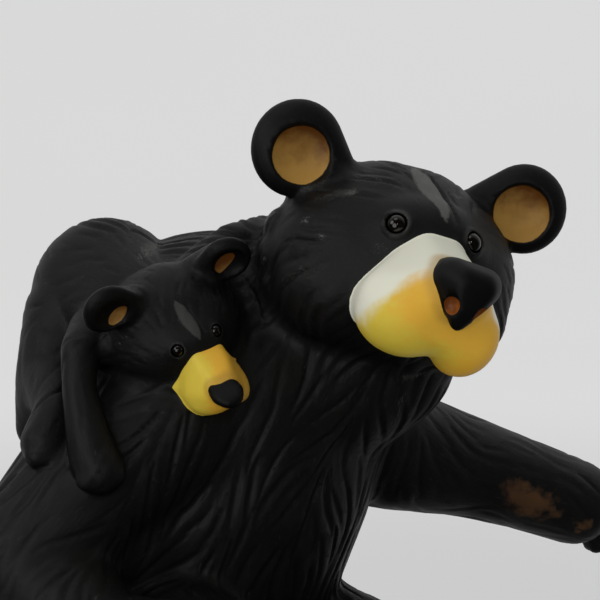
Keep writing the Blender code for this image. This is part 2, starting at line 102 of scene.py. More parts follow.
# Where the heads are and how they are turned: pitch, roll and yaw in degrees. "cup" is the radius and
# the depth of the hollow of an ear, and how far its lip lies in front. "snout" is how far the muzzle
# leans to the left in degrees, "bridge" the two ends of its bridge, "nose" its width, height and shift,
# and "ears" the middle, turn and size of the right ear (-1) and of the left (1), where the cup is on it,
# and how high its web runs out to the crown. "tuft" is the line of light fur and "grey" how light it is,
# the stain and shade value how much the yellow of the muzzle is raised, which on the cub also paints
# its far side and its ear spots darker as shade, and "spots" the paint in the cups: its place, half
# axes and tilt
MOTHER_HEAD = {
    "at": (16, -28, 115), "turn": (-6, 14, -29), "size": 1, "cup": (7.8, 3.6, 4.7),
    "snout": 6, "snout_width": 1, "bridge": ((-3.6, -28.5, 2), (1.8, -28.5, 2.2)), "nose": (0.97, 1, 0.8, 0),
    "tuft": ((1.7, -30, 8.5), (-1.9, -7.2, 23)), "grey": 1, "stain_and_shade": 0,
    "spots": {-1: (0, 0, 7.3, 7.3, 0), 1: (0, 0, 7.3, 7.3, 0)},
    "ears": {-1: ((-30.5, -4, 21.3), (6, 0, -4), 0.97, (0.5, -1.6), -4.2),
             1: ((30.8, -4, 20.4), (6, 0, -12), 0.91, (-0.8, -1.5), -1.6)},
}
CUB_HEAD = {
    "at": (-33, -0.5, 101), "turn": (28, -24, -22), "size": 0.54, "cup": (8, 4.2, 4.2),
    "snout": 0, "snout_width": 0.86, "bridge": ((-4.2, -28.5, 2), (8, -31, -1)), "nose": (1.06, 0.6, -1.5, 2),
    "tuft": ((0.7, -29.9, 9.1), (-0.1, -12, 21.2)), "grey": 0.4, "stain_and_shade": 30,
    "spots": {-1: (4.2, -3.9, 6.9, 3.4, 25), 1: (-1.85, -1.4, 6.2, 3.2, 35)},
    "ears": {-1: ((-28.4, -4, 27.4), (6, 0, -4), 1, (0.8, -0.8), -3),
             1: ((31.8, -4, 22.4), (6, 0, -18), 0.97, (0.6, 0.4), -3)},
}
HEADS = (MOTHER_HEAD, CUB_HEAD)

# Rounded masses, hulled one to the next: centre, radii
TORSO = [
    ((-2, 27, 31), (40, 37, 34)),  # seat
    ((1, 17, 56), (40, 38, 30)),  # belly
    ((4, 9, 82), (38, 35, 28)),  # chest
    ((0, 18, 100.8), (33, 30, 20.5)),  # hump
]
# Limbs and necks: balls that are hulled in pairs, each a centre and a radius
MOTHER_LIMBS = {
    "neck": [((4, 13, 96), 23.5), ((12, -10, 105), 23.5)],
    "throat": [((4, 4, 82), 30), ((21.5, -15, 92), 23.5)],
    "left_arm": [((27, 5, 74.5), 20.5), ((46, 0, 62), 16.8), ((68, -6, 55.5), 14.1), ((88, -12, 48.4), 12.6)],
    "right_arm": [((-28, 7, 76), 21), ((-46, 14, 62), 18.5), ((-61, 20, 43), 17), ((-60, -4, 26), 13),
                  ((-51, -26, 28), 10.5)],
    "right_flank": [((-22, 18, 52), 24), ((-46, 20, 46), 17)],
    "left_leg": [((21, 14, 10.5), 20.8), ((37, -15, 7.5), 12), ((50, -42, 9), 10)],
    "right_leg": [((-24, 12, 18), 23), ((-41, -20, 16), 17), ((-45, -46, 11), 12)],
}
CUB_TORSO = [
    ((-22.6, 35.3, 104.4), (19.4, 19.5, 20.5)),  # rump
    ((-29, 18, 101), (15, 16, 15)),  # chest
]
CUB_LIMBS = {
    "cub_neck": [((-30, 16, 101), 13), ((-32, 4, 100), 12)],
    "cub_right_arm": [((-43, 14, 98), 8), ((-52.9, 9.8, 95), 4.8), ((-55.9, 6.7, 86.4), 4.2),
                      ((-57, 2.2, 75.6), 5.4), ((-56.9, 0.1, 70.3), 6)],
    "cub_right_leg": [((-31, 36.3, 99), 14.4), ((-43, 32.5, 85.1), 9.4), ((-50.2, 28, 74.5), 6.6)],
    "cub_right_shin": [((-43, 32.5, 85.1), 9.4), ((-54.8, 16.8, 79.5), 5.2)],
    "cub_left_arm": [((-22, 8, 105), 9), ((-9, 2, 117.3), 7), ((0, 0, 120), 6.5)],
    "cub_left_leg": [((-16, 40, 102), 13), ((-4, 40, 103), 10), ((6, 34, 107), 7.5)],
}
# Paws and feet: a palm of hulled balls, then a row of toes from one place to another with a radius
TOE_COUNT = 5
TOE_LENGTH = 0.6  # share of the way from the tips to the last ball of the palm
PAWS = {
    "left_paw": ([((88, -12, 48.4), 12.6), ((105, -16, 42), 12)],
                 ((116.3, -28, 43.5), (115, -16.5, 29.5), 3.7)),
    "right_paw": ([((-51, -26, 28), 10.5), ((-46, -37, 27), 9.5)], ((-54, -43, 23.5), (-37, -43, 24.5), 3.3)),
    "left_foot": ([((54, -50, 8), 9.5), ((48.2, -53.9, 17), 7.5), ((59.8, -48.1, 17), 7.5),
                   ((53.5, -50.5, 16), 8)],
                  ((46.2, -58.8, 21.5), (65, -49.4, 21.5), 3.5)),
    "right_foot": ([((-47, -54, 8), 9.5), ((-54.1, -54.8, 17), 7.5), ((-41.9, -59.2, 17), 7.5),
                    ((-47.5, -56, 16), 8)],
                   ((-59.1, -56.7, 22), (-39.3, -63.9, 22), 3.5)),
    "cub_right_paw": ([((-56.9, 0.1, 70.3), 6), ((-56.7, -1.9, 67.6), 6)],
                      ((-60.9, -1.6, 65.3), (-54.6, -4.7, 66.2), 2.6)),
    "cub_right_foot": ([((-54.8, 16.8, 79.5), 5.4), ((-60.6, 14, 72.8), 6)],
                       ((-64.5, 12.6, 70), (-60.6, 10.4, 69), 2.8)),
    "cub_left_paw": ([((0, 0, 120), 6.3), ((7, -1, 119.2), 5.2)], ((11, -4, 117.5), (10, 2, 118.5), 2.6)),
    "cub_left_foot": ([((6, 34, 107), 7), ((12, 29, 107), 6)], ((15, 24, 104), (17, 30, 104), 2.8)),
}

# The head, with its own origin in the middle of the skull and its nose towards -Y
SKULL = ((0, 0, -2), (32.2, 30, 25))
CROWN_SIDE = ((3, 2, 6), (21, 25, 18.6))
SNOUT_PIVOT = (0, 0, -17)
BROW = ((0, -19, 3), (18.5, 13, 12.5))
CHEEK = ((13.7, -6, -10), (16.5, 18, 14.5))
BRIDGE_RADIUS = 4
MUZZLE_SIDE = [  # front, rear corner, side and lip
    ((2.5, -45.5, -10), 7.5), ((9.8, -21, -14.4), 5.8), ((8.3, -33.5, -13.5), 9), ((4, -41, -14), 8.3),
]
JOWLS = [  # each hulled with the lip in front of it
    [((-5, -33, -15.8), (12, 14, 9.9)), ((-4, -41, -14), 8.3)],
    [((10.6, -33.5, -16.4), (7.3, 14, 9.6)), ((4, -41, -14), 8.3)],
]
NOSE_SIDE = [  # wing, back of the top, front, foot and tip
    ((4.1, -52, -6.2), (4.3, 5.4, 4.6)),
    ((3.4, -46.5, -4.2), 3.2),
    ((2.4, -56, -7.2), (3.8, 3.8, 4.2)),
    ((1.4, -55, -12.5), (2.4, 3, 3)),
    ((0, -53.5, -16.2), 1.9),
]
NOSE_MIDDLE = -10.5  # height of the middle of the nose
NOSTRIL = ((3.7, -56, -13.2), (1.9, 3, 2.3))
EYE_FIT = 0.3
EYELID_HEIGHT = 0.7
EYELID_WIDTH = 0.6
EYELID_GAP = 0.55  # from the edge of the eye to the top of the ring
LID_PLACE = 0.75  # from the edge of the eye to the grey line on the ring
LID_WIDTH = 0.35
EAR_RADII = (12.1, 5.5, 12.6)
EAR_ROOT = [((-2.5, 2.5, -1.5), 8.5), ((-15, 5, -10.5), 9.5)]
EAR_WEB = (13, 1)  # how far the web of an ear runs towards the crown, and back
EAR_WEB_RADIUS = 4
CUP_BACK = 0.5  # what lies behind this in an ear isn't pressed
CUP_ROOM = (4, 3)  # nor what lies so far in front of the ear, and how much nearer it is pressed fully
OUTSIDE = -9.0  # stands for how far a place is inside something that it isn't near
HEAD_BOX = (34, 66, 34)  # half the box round a head in which its muzzle lies
FACE_BACK = -8  # and how far back the muzzle reaches
MUZZLE_MIDDLE = (0, -36, -10)
CUP_LIP = 0.6  # bare edge round the paint of a cup
EAR_FRONT = 1  # only what lies in front of this in an ear counts as its cup
EAR_REACH = 14

# The ruff: pointed locks from one ear round the jaw to the other, in the head's frame
RUFF_COUNT = 13
RUFF_RADII = (33.5, 28.5)
RUFF_CENTRE = (0, -1, -3)
RUFF_SPREAD = 205
RUFF_BALLS = ((2, 0.85, 5.5), (10, 0.86, 3.4), (18, 0.78, 0.9))

# The coat. Each bone: start, end, how far the skin lies from it, and the length, half width and depth of
# the grooves there, and the gap between them. The fur lies along the bones, and the guides turn it aside
COAT = (24, 1.4, 0.75, 3.7)
SHORT_COAT = (20, 1.4, 0.6, 3.8)
ARM_COAT = (20, 1.4, 0.32, 4.4)
CUB_COAT = (13, 1.1, 0.24, 3.6)
BONES = [
    ((12, -12, 100), (2, 4, 60), 30, COAT),  # chest
    ((2, 4, 60), (-2, 14, 15), 36, COAT),  # belly
    ((8, -6, 106), (2, 28, 106), 24, COAT),  # nape
    ((2, 30, 106), (-4, 38, 20), 32, COAT),  # back
    ((-22, 10, 60), (-46, 14, 40), 22, COAT),  # right flank
    ((27, 5, 76), (50, -1, 60), 19, ARM_COAT),
    ((50, -1, 60), (112, -19, 38), 13, ARM_COAT),
    ((-28, 8, 78), (-61, 19, 46), 19, COAT),
    ((-60, 8, 34), (-51, -26, 28), 13, SHORT_COAT),
    ((22, 14, 13), (50, -42, 9), 15, SHORT_COAT),
    ((-25, 10, 18), (-46, -48, 14), 18, SHORT_COAT),
    ((-31, 14, 102), (-22, 42, 104), 18, CUB_COAT),
    ((-44, 13, 98), (-56, 7, 88), 6, CUB_COAT),
    ((-56, 7, 88), (-57, -2, 66), 5.5, CUB_COAT),
    ((-33, 35, 97), (-50, 28, 75), 10, CUB_COAT),
    ((-46, 31, 83), (-60, 14, 73), 6, CUB_COAT),
    ((-22, 8, 105), (5, 0, 120), 7.5, CUB_COAT),
    ((-14, 40, 103), (14, 28, 106), 10, CUB_COAT),
]
HEAD_COAT = (15, 1.1, 0.5, 3.5)
HEAD_REACH = 29  # from the middle of the skull to the skin
HEAD_ROOM = 43  # and to the end of what belongs to the head
HEAD_BONE = (-22, 14)  # from where to where the streaks of paint on a head run
HEAD_BONE_REACH = 26
FACE_MIDDLE = (0, -31, 4)  # the fur of a head lies away from this place
FACE_END = (-25, -18)  # from where to where, on the way back from the face, its grooves grow
COAT_PULL = 6  # the higher, the less one part of the coat turns the next
GUIDES = [
    ((-13, -21.9, 75.9), (-18.7, -17.9, 71.2)), ((-22.3, -13.9, 63), (-24.1, -12.3, 53.9)),
    ((-27.1, -20.8, 83.2), (-28.1, -13.8, 72.9)), ((-64.3, 3.9, 58.1), (-74.1, 6.8, 47.1)),
    ((-53.4, -1.5, 52.6), (-70.3, -6.8, 41.3)), ((30.8, -16.3, 67.1), (23.6, -14.9, 57.3)),
    ((5.5, -31.2, 82.4), (6.5, -27.6, 73.3)), ((-2.9, -22.2, 63.7), (-2.4, -18.3, 45.6)),
    ((-36.4, -7.7, 61), (-36.6, -2.4, 53)),
]
GUIDE_PULL = 5
GUIDE_REACH = 11
SWAY = 0.32  # how far the locks wave to the sides, in radians
SWAY_LENGTH = 5.5
BARE = {"muzzle": 1.2, "cup": 1.5, "eye": 2}  # how far from each the grooves reach their full depth
EYE_ROOM = 1.2  # the bare skin round an eye
EAR_BARE = (1.15, 0.5)  # the bare skin of an ear, and how soon the grooves are full, as shares of its radii
FUR_SEED = 12
FUR_ROUNDS = [(9000, 1.4, 2, 0.45, 2.4), (26000, 1, 1, 1, 1)]  # tries, then factors of the four sizes
FUR_LEAST = 0.3  # no groove starts where there is less fur
VARIETY = {"length": (0.6, 1.25), "gap": (0.75, 1.1), "width": (0.75, 1.2), "depth": (0.5, 1.2)}
OWN_ROOM = 0.6  # share of its length to each side that a groove keeps for itself
CUT_GAP = 0.5  # units between the cuts of the gouge along a groove
KNOT_CUTS = 4  # cuts from one knot of its path to the next
GROOVE_SKEW = 0.75  # below 1, a groove is deepest before its middle
GROOVE_FULLNESS = 0.7  # the lower, the more suddenly it ends
GROOVE_ENDS = 0.4  # its width at the ends, as a share
GROOVE_FLANKS = 1.5  # the higher, the narrower its floor
NECK_TOP = 8  # creases above this height on a head are left sharp
NECK_REACH = 5
NECK_ROUNDS = 160
SWELL_ROUNDS = 60  # how far the height that a groove takes away is given to the fur round it
TUFT_WIDTH = 3.3
TUFT_RISE = 0.5
TUFT_EDGE = (3.1, 0.8, 0.8)  # how far aside the groove along its left edge is, its half width and depth
RIDGE_HEIGHT = 0.5  # how high the fur stands that the dry brush colours fully

# Marks on the skin: steps in which a line is laid, steps in which it is measured, and how far it reaches
LAID_STEPS = 8
MARK_STEPS = 40
MARK_REACH = 30
MARK_FULLNESS = 0.6  # the lower, the blunter its ends
STROKE_SPREAD = 0.3  # how far a stroke goes past its width
# Light strokes that a dry brush left: from, to, half width and strength
STROKES = [
    ((-8.8, -19.8, 133.1), (-4.1, -26.4, 135.8), 1.7, 0.8),
    ((-8.6, -26.7, 130.6), (-3.2, -36.3, 133.1), 2, 1),
    ((-12.9, -26.3, 125.7), (-12.2, -28.6, 126.9), 1.3, 0.9),
    ((-14, -32.4, 122.1), (-13.3, -34.1, 122.9), 1.2, 0.8),
    ((-13.4, -11.1, 115.3), (-13.9, -15.8, 117), 1.2, 0.5),
    ((-14.9, -6.3, 108.2), (-14.2, -9.2, 105.8), 1.2, 0.5),
    ((-15.3, -19.1, 110.6), (-14.8, -35.5, 115.1), 1.8, 0.3),
    ((-8.6, -44.7, 121.2), (-8.8, -51.4, 118.2), 1.6, 0.35),
    ((2.1, -28.9, 137.4), (4, -42.4, 133.6), 0.7, 0.5), ((0.4, -29.2, 136.7), (2.5, -40, 133.5), 0.7, 0.4),
    ((16.6, -47, 132.1), (22.2, -47.3, 130.8), 1, 0.7), ((20, -39.4, 88.1), (8.5, -33.8, 85.6), 1, 0.6),
    ((13.7, -35.7, 84.4), (15.6, -29.3, 73.5), 1.4, 0.3),
    ((19.4, -22.3, 67.4), (17.6, -17.8, 54.2), 2, 0.3), ((6.8, -19.1, 49.6), (7.8, -14.5, 38.6), 1.6, 0.25),
    ((-54.9, 0.6, 100.1), (-48.5, -1.4, 96.7), 1.6, 0.5),
    ((-9.6, -14.7, 127.8), (-8.6, -5.8, 120.2), 1.4, 1.2),
    ((-31.4, 12.9, 114.9), (-15.4, 23.5, 118.7), 2.6, 0.8),
]
# Brown pads: from, to and half width
PADS = [
    ((68.5, -20, 51), (90, -23.7, 41), 6.2), ((96, -25, 38), (101, -25.5, 35), 4.5),
    ((-50.5, -60, 8), (-46, -62, 16), 7), ((56.5, -57, 8), (56, -58, 16), 7),
]

# The photograph's view: degrees, and units
VIEW = {"azimuth": -45, "elevation": 5, "distance": 600, "width": 150, "aim": (0.15, -12.2, 105.25)}
SENSOR = 36
CAMERA_CLIP = (0.05, 20)

# Paint, as linear colours
BLACK = (0.0055, 0.0056, 0.0055, 1)
WORN = (0.022, 0.022, 0.0205, 1)
TUFT_GREY = (0.085, 0.087, 0.080, 1)
CREAM = (0.74, 0.73, 0.61, 1)
YELLOW = (0.66, 0.50, 0.055, 1)
AMBER = (0.72, 0.38, 0.035, 1)
# Ochre, darkened as painted shade: round the nose and on the far side of the cub's muzzle
SHADED_OCHRE = (0.42, 0.235, 0.032, 1)
# Ear cups: the deeper orange at the top carries painted shade of the rim, and so do the cub's dim spots; the
# tan below is the plain paint
EAR_SHADED = (0.095, 0.031, 0.003, 1)
EAR_LIGHT = (0.36, 0.195, 0.040, 1)
NOSE_BLACK = (0.0028, 0.0028, 0.0030, 1)
NOSTRIL_ORANGE = (0.25, 0.07, 0.008, 1)
NOSTRIL_DARK = (0.17, 0.045, 0.006, 1)
PAD_BROWN = (0.046, 0.017, 0.005, 1)
PAD_LIGHT = (0.085, 0.040, 0.012, 1)
EARTH = (0.014, 0.012, 0.010, 1)
EARTH_LIGHT = (0.035, 0.030, 0.024, 1)
GLASS_BROWN = (0.0022, 0.0016, 0.0012, 1)
GLASS_LIGHT = (0.006, 0.0035, 0.002, 1)
PAPER = (0.30, 0.30, 0.302, 1)
PAPER_DARK = (0.26, 0.26, 0.262, 1)
# The paper glows instead of being lit, evenly bright, and glows less near the figure as painted shade round
# it
PAPER_GLOW = 0.54
SHADED_NEAR_GLOW = (0.80, 0.80, 0.80, 1)
FAR_GLOW = (1, 1, 1, 1)
NEAR_SHADE_RANGE = (0.2, 0.7)  # metres from the middle of the floor

# Noises in the paint: scale, detail and roughness. Streaks and hairs run along the fur
STREAKS, HAIRS = (1.0, 5.0, 0.6), (2.6, 3.0, 0.6)
PATCHES, BLOTS, GRAIN = (60.0, 2.0), (230.0, 3.0), (1400.0, 3.0)
CLOUD, WASH = (0.1, 4.0, 0.6), (0.45, 3.0)
COMB_SCALE = (1.1, 1.1, 0.09)  # across the fur and along it
# How each paint comes in: from where to where, how ragged its edge is and how strong it gets
FADES = {
    "ridge": (0.05, 0.9, 0.9, 0.5), "patch": (0.3, 0.7, 0, 1), "stroke": (0.3, 1.1, 2.6, 0.9),
    "ring": (0.35, 0.6, 0, 0.5), "tuft": (-0.05, 0.25, 0.5, 1), "pad": (0, 0.7, 2.2, 1),
    "drop": (-51, -35, 0, 1), "yellow": (-3.8, -9.8, 9, 1), "front": (-40, -51, 9, 1),
    "aside": (1, 12, 9, 1), "amber": (-0.1, 1, 1, 0.9), "shaded_ochre_side": (2.5, 8, 9, 0.85),
    "low": (-30, -34, 0, 1), "edge": (-0.08, 0.08, 0, 1), "nose_shade": (-3.4, -0.6, 3.15, 0.6),
    "rim": (-7, -5, 0, 0.7), "cup": (-0.1, 0.15, 0.8, 1), "ear_shade": (7.5, -4.5, 11, 1),
    "clouds": (0.4, 0.65, 0, 1),
}
NOSE_DROP = 14.0  # how much lower the yellow starts away from the nose
HAIR_RELIEF, GRAIN_RELIEF = (0.0003, 0.35), (0.00004, 0.5)  # metres, and their strength
SATIN, ENAMEL, NOSE_ROUGHNESS = (0.46, 0.56), 0.42, 0.55
GRAIN_ROUGHNESS = 0.15  # how much rougher the smaller paints get with their grain
# Smaller paints: two colours, the scale of their grain, roughness and relief
SMALL_PAINTS = {
    "nostril_paint": (NOSTRIL_ORANGE, NOSTRIL_DARK, 400, 0.35, 0.0001),
    "socket_paint": (NOSE_BLACK, BLACK, 400, 0.4, 0.0001),
    "earth_paint": (EARTH, EARTH_LIGHT, 90, 0.6, 0.0006),
}

# The studio, in metres: the flat of its floor, the bend round it and the wall
FLOOR_REACH = 1.5
BEND_RADIUS = 1.2
WALL_HEIGHT = 1.5
FLOOR_RINGS, BEND_RINGS, WALL_RINGS = 6, 12, 5
FLOOR_SIDES = 96
LAMP_AIM = 0.09  # height that the lamps face
# Soft boxes: name, azimuth and elevation in degrees, distance, size and power
LAMPS = [("key", -105, 30, 1.8, 1.1, 6.3), ("top", -70, 72, 1.8, 0.9, 2.2), ("front", -70, 1, 1.9, 1.5, 11),
         ("glint", -38, 18, 1.5, 0.12, 0.8)]
ROOM_FILL = 0.5  # the light from all round that the paint scatters
ROOM_WAY = (0.66, 0.66, 0.36)  # the bright side of the room, as the gloss sees it
ROOM_RANGE = {"From Min": -0.1, "From Max": 0.7, "To Min": 0.03, "To Max": 0.6}
ROOM_COLOUR = (0.99, 1.0, 0.99, 1)


def new_object(name, data):
    made = bpy.data.objects.new(name, data)
    bpy.context.scene.collection.objects.link(made)
    return made


def mesh_of(work, name):
    """The mesh of a bmesh, which is used up."""
    mesh = bpy.data.meshes.new(name)
    work.to_mesh(mesh)
    work.free()
    return mesh


def outward(azimuth, elevation):
    """The way out to a place given in degrees, where azimuth 0 is straight in front of the bear."""
    a, e = math.radians(azimuth), math.radians(elevation)
    return Vector((math.sin(a) * math.cos(e), -math.cos(a) * math.cos(e), math.sin(e)))


def placed(centre, radii=(1, 1, 1), turn=(0, 0, 0)):
    """The matrix that puts a unit shape in its place."""
    angles = Euler([math.radians(a) for a in turn])
    return Matrix.Translation(centre) @ angles.to_matrix().to_4x4() @ Matrix.Diagonal((*radii, 1))


def head_matrix(head):
    """From a head's own frame, in units, to the figure's frame."""
    return placed(head["at"], (head["size"],) * 3, head["turn"])


def snout_matrix(head):
    """As head_matrix, for the muzzle and the nose."""
    lean = Matrix.Rotation(math.radians(head["snout"]), 4, "Y")
    pivot = Matrix.Translation(SNOUT_PIVOT)
    wide = Matrix.Diagonal((head["snout_width"], 1, 1, 1))
    return head_matrix(head) @ pivot @ lean @ pivot.inverted() @ wide


def nose_matrix(head):
    wide, high, aside, up = head["nose"]
    middle = Matrix.Translation((0, 0, NOSE_MIDDLE))
    shifted = Matrix.Translation((aside, 0, NOSE_MIDDLE + up))
    return snout_matrix(head) @ shifted @ Matrix.Diagonal((wide, 1, high, 1)) @ middle.inverted()


def add_mass(work, centre, radii, place=Matrix()):
    bmesh.ops.create_icosphere(work, subdivisions=5, radius=1, matrix=place @ placed(centre, radii))


def add_hull(work, masses, place=Matrix()):
    """The tight skin round several rounded masses, each a centre with a radius or three radii."""
    hull = bmesh.new()
    for centre, size in masses:
        radii = size if isinstance(size, tuple) else (size,) * 3
        bmesh.ops.create_icosphere(hull, subdivisions=4, radius=1, matrix=place @ placed(centre, radii))
    wrapped = bmesh.ops.convex_hull(hull, input=hull.verts)
    spare = {v for v in wrapped["geom_interior"] + wrapped["geom_unused"]
             if isinstance(v, bmesh.types.BMVert)}
    bmesh.ops.delete(hull, geom=list(spare), context="VERTS")
    skin = mesh_of(hull, "hull")
    work.from_mesh(skin)
    bpy.data.meshes.remove(skin)


def add_limb(work, masses, place=Matrix()):
    """A chain of rounded masses, each hulled to the next."""
    for pair in zip(masses, masses[1:]):
        add_hull(work, pair, place)


def both_sides(masses):
    return (masses, [((-x, y, z), size) for (x, y, z), size in masses])


def evaluated_mesh(obj):
    """The mesh of an object with its modifiers, and the object itself removed."""
    bpy.context.view_layer.update()
    graph = bpy.context.evaluated_depsgraph_get()
    mesh = bpy.data.meshes.new_from_object(obj.evaluated_get(graph))
    bpy.data.objects.remove(obj)
    return mesh


def fused(work, voxel, softness, rounded=True):
    """One skin over all the shapes in a bmesh, with its creases softened. The bmesh is used up."""
    obj = new_object("rough", mesh_of(work, "rough"))
    remesh = obj.modifiers.new("one skin", "REMESH")
    remesh.mode = "VOXEL"
    remesh.voxel_size = voxel
    smooth = obj.modifiers.new("soften", "SMOOTH")
    smooth.factor = 0.5
    smooth.iterations = softness
    if rounded:
        obj.modifiers.new("round", "SUBSURF").levels = 1
    return evaluated_mesh(obj)


def bodies_block():
    """The two bodies with their limbs, well softened, so that one mass flows into the next."""
    mother = bmesh.new()
    add_limb(mother, TORSO)
    for masses in MOTHER_LIMBS.values():
        add_limb(mother, masses)
    cub = bmesh.new()
    add_limb(cub, CUB_TORSO)
    for masses in CUB_LIMBS.values():
        add_limb(cub, masses)
    return [fused(mother, BODY_VOXEL, SOFTNESS["mother"]), fused(cub, DETAIL_VOXEL, SOFTNESS["cub"])]


def paws_block():
    work = bmesh.new()
    for palm, (first, last, radius) in PAWS.values():
        add_hull(work, palm)
        for toe in range(TOE_COUNT):
            tip = Vector(first).lerp(last, toe / (TOE_COUNT - 1))
            knuckle = tip.lerp(palm[-1][0], TOE_LENGTH)
            add_hull(work, [(tip, radius), (knuckle, radius)])
    return fused(work, DETAIL_VOXEL, SOFTNESS["paws"])


def skull_block(head):
    work = bmesh.new()
    place = head_matrix(head)
    add_mass(work, *SKULL, place)
    add_mass(work, *BROW, place)
    for side in both_sides([CHEEK, CROWN_SIDE]):
        for centre, radii in side:
            add_mass(work, centre, radii, place)
    for side in (-1, 1):
        root = [((side * x, y, z), radius) for (x, y, z), radius in EAR_ROOT]
        add_limb(work, root, ear_frame(head, side))
    return fused(work, BODY_VOXEL * head["size"], SOFTNESS["skull"])


def ruff_block(head):
    """Pointed locks that lie back from the cheeks and the jaw over the neck."""
    work = bmesh.new()
    place = head_matrix(head) @ Matrix.Translation(RUFF_CENTRE)
    across, down = RUFF_RADII
    for lock in range(RUFF_COUNT):
        angle = math.radians((lock / (RUFF_COUNT - 1) - 0.5) * RUFF_SPREAD)
        out = Vector((across * math.sin(angle), 0, -down * math.cos(angle)))
        masses = [(out * share + Vector((0, back, 0)), radius) for back, share, radius in RUFF_BALLS]
        add_limb(work, masses, place)
    return fused(work, DETAIL_VOXEL * head["size"], SOFTNESS["ruff"])


def muzzle_block(head):
    work = bmesh.new()
    place = snout_matrix(head)
    left, right = both_sides(MUZZLE_SIDE)
    add_hull(work, [(end, BRIDGE_RADIUS) for end in head["bridge"]] + left + right, place)
    for jowl in JOWLS:
        add_hull(work, jowl, place)
    return fused(work, DETAIL_VOXEL * head["size"], SOFTNESS["muzzle"])


def nose_block(head):
    work = bmesh.new()
    left, right = both_sides(NOSE_SIDE)
    add_hull(work, left + right, nose_matrix(head))
    return fused(work, DETAIL_VOXEL * head["size"] * NOSE_FINENESS, SOFTNESS["nose"])


def ear_frame(head, side):
    """From the frame of the right ear (-1) or the left (1) to the figure's frame."""
    middle, turn = head["ears"][side][:2]
    return head_matrix(head) @ placed(middle, turn=turn)


def add_ears(work, head):
    """Two thick rounded discs. Their cups are pressed in later."""
    wide, deep, high = EAR_RADII
    for side, (_, _, size, _, web) in head["ears"].items():
        disc = ((0, 0, 0), (wide * size, deep, high * size))
        end = ((-side * EAR_WEB[0], EAR_WEB[1], web), EAR_WEB_RADIUS)
        add_hull(work, [disc, end], ear_frame(head, side))


def tree_of(meshes):
    """What finds the nearest place on several skins."""
    points, faces = [], []
    for mesh in meshes:
        first = len(points)
        points += [v.co.copy() for v in mesh.vertices]
        faces += [[first + i for i in p.vertices] for p in mesh.polygons]
    return BVHTree.FromPolygons(points, faces)


def sculpted():
    """The whole figure as one fine skin, with what finds the muzzles, the noses and all the rest."""
    bodies = bodies_block() + [paws_block()]
    zones = []
    blocks = list(bodies)
    work = bmesh.new()
    for head in HEADS:
        fur = [skull_block(head), ruff_block(head)]
        muzzle, nose = muzzle_block(head), nose_block(head)
        blocks += fur + [muzzle, nose]
        zones.append({"head": head, "rest": tree_of(fur + bodies), "muzzle": tree_of([muzzle]),
                      "nose": tree_of([nose]), "skull": tree_of(fur), "body": tree_of(bodies)})
        add_ears(work, head)
    for block in blocks:
        work.from_mesh(block)
        bpy.data.meshes.remove(block)
    return fused(work, FINE_VOXEL, FINE_SOFTNESS, rounded=False), zones


def points_of(mesh, field="co"):
    """The places of a mesh's points, or their normals."""
    values = np.empty(len(mesh.vertices) * 3)
    mesh.vertices.foreach_get(field, values)
    return values.reshape(-1, 3)


def move_points(mesh, places):
    mesh.vertices.foreach_set("co", places.ravel())
    mesh.update()


def lengths(vectors):
    return np.linalg.norm(vectors, axis=1)


def in_frame(places, matrix):
    """The places as seen from a frame, given by the matrix from that frame."""
    back = np.array(matrix.inverted())
    return places @ back[:3, :3].T + back[:3, 3]


def zone_gaps(places, zones):
    """How far each place is inside a muzzle and inside a nose, in units, and negative outside."""
    muzzle, nose = np.full((2, len(places)), OUTSIDE)
    for zone in zones:
        head = zone["head"]
        local = in_frame(places, head_matrix(head))
        close = np.flatnonzero((np.abs(local) < HEAD_BOX).all(axis=1) & (local[:, 1] < FACE_BACK))
        for index in close:
            place = Vector(places[index])
            to_rest, to_muzzle, to_nose = (zone[part].find_nearest(place)[3] for part in
                                           ("rest", "muzzle", "nose"))
            muzzle[index] = (to_rest - min(to_muzzle, to_nose)) / head["size"]
            nose[index] = (to_muzzle - to_nose) / head["size"]
    return muzzle, nose


def nearness_of(places):
    near = KDTree(len(places))
    for index, place in enumerate(places):
        near.insert(place, index)
    near.balance()
    return near


def bone_gaps(places, start, end):
    """How far each place is from a bone."""
    bone, away = np.subtract(end, start), np.subtract(places, start)
    along = np.clip(away @ bone / (bone @ bone), 0, 1)
    return lengths(away - np.outer(along, bone))


def fur_field(places, normals):
    """The way that the fur lies at each place, and the number of the coat that it belongs to."""
    flow = np.zeros_like(places)
    pulls = []
    for start, end, reach, _ in BONES:
        bone = np.subtract(end, start)
        pulls.append((reach / np.maximum(bone_gaps(places, start, end), 1)) ** COAT_PULL)
        flow += np.outer(pulls[-1], bone / np.linalg.norm(bone))
    for head in HEADS:
        local = in_frame(places, head_matrix(head))
        pulls.append((HEAD_REACH / np.maximum(lengths(local), 1)) ** COAT_PULL)
        away = (local - FACE_MIDDLE) @ np.array(head_matrix(head).to_3x3()).T
        flow += pulls[-1][:, None] * away / lengths(away)[:, None]
    flow /= lengths(flow)[:, None]
    for start, end in GUIDES:
        way = np.subtract(end, start)
        gap = lengths(places - np.add(start, end) / 2)
        flow += np.outer(GUIDE_PULL * np.exp(-(gap / GUIDE_REACH) ** 2), way / np.linalg.norm(way))
    x, y, z = places.T / SWAY_LENGTH
    angle = SWAY * (np.sin(x + 0.7 * y - 0.3 * z) + np.sin(0.6 * z - 0.8 * x + 1.3 * y + 2))
    flow -= normals * (flow * normals).sum(axis=1)[:, None]
    flow /= lengths(flow)[:, None] + 1e-9
    flow = flow * np.cos(angle)[:, None] + np.cross(normals, flow) * np.sin(angle)[:, None]
    return flow, np.argmax(pulls, axis=0)


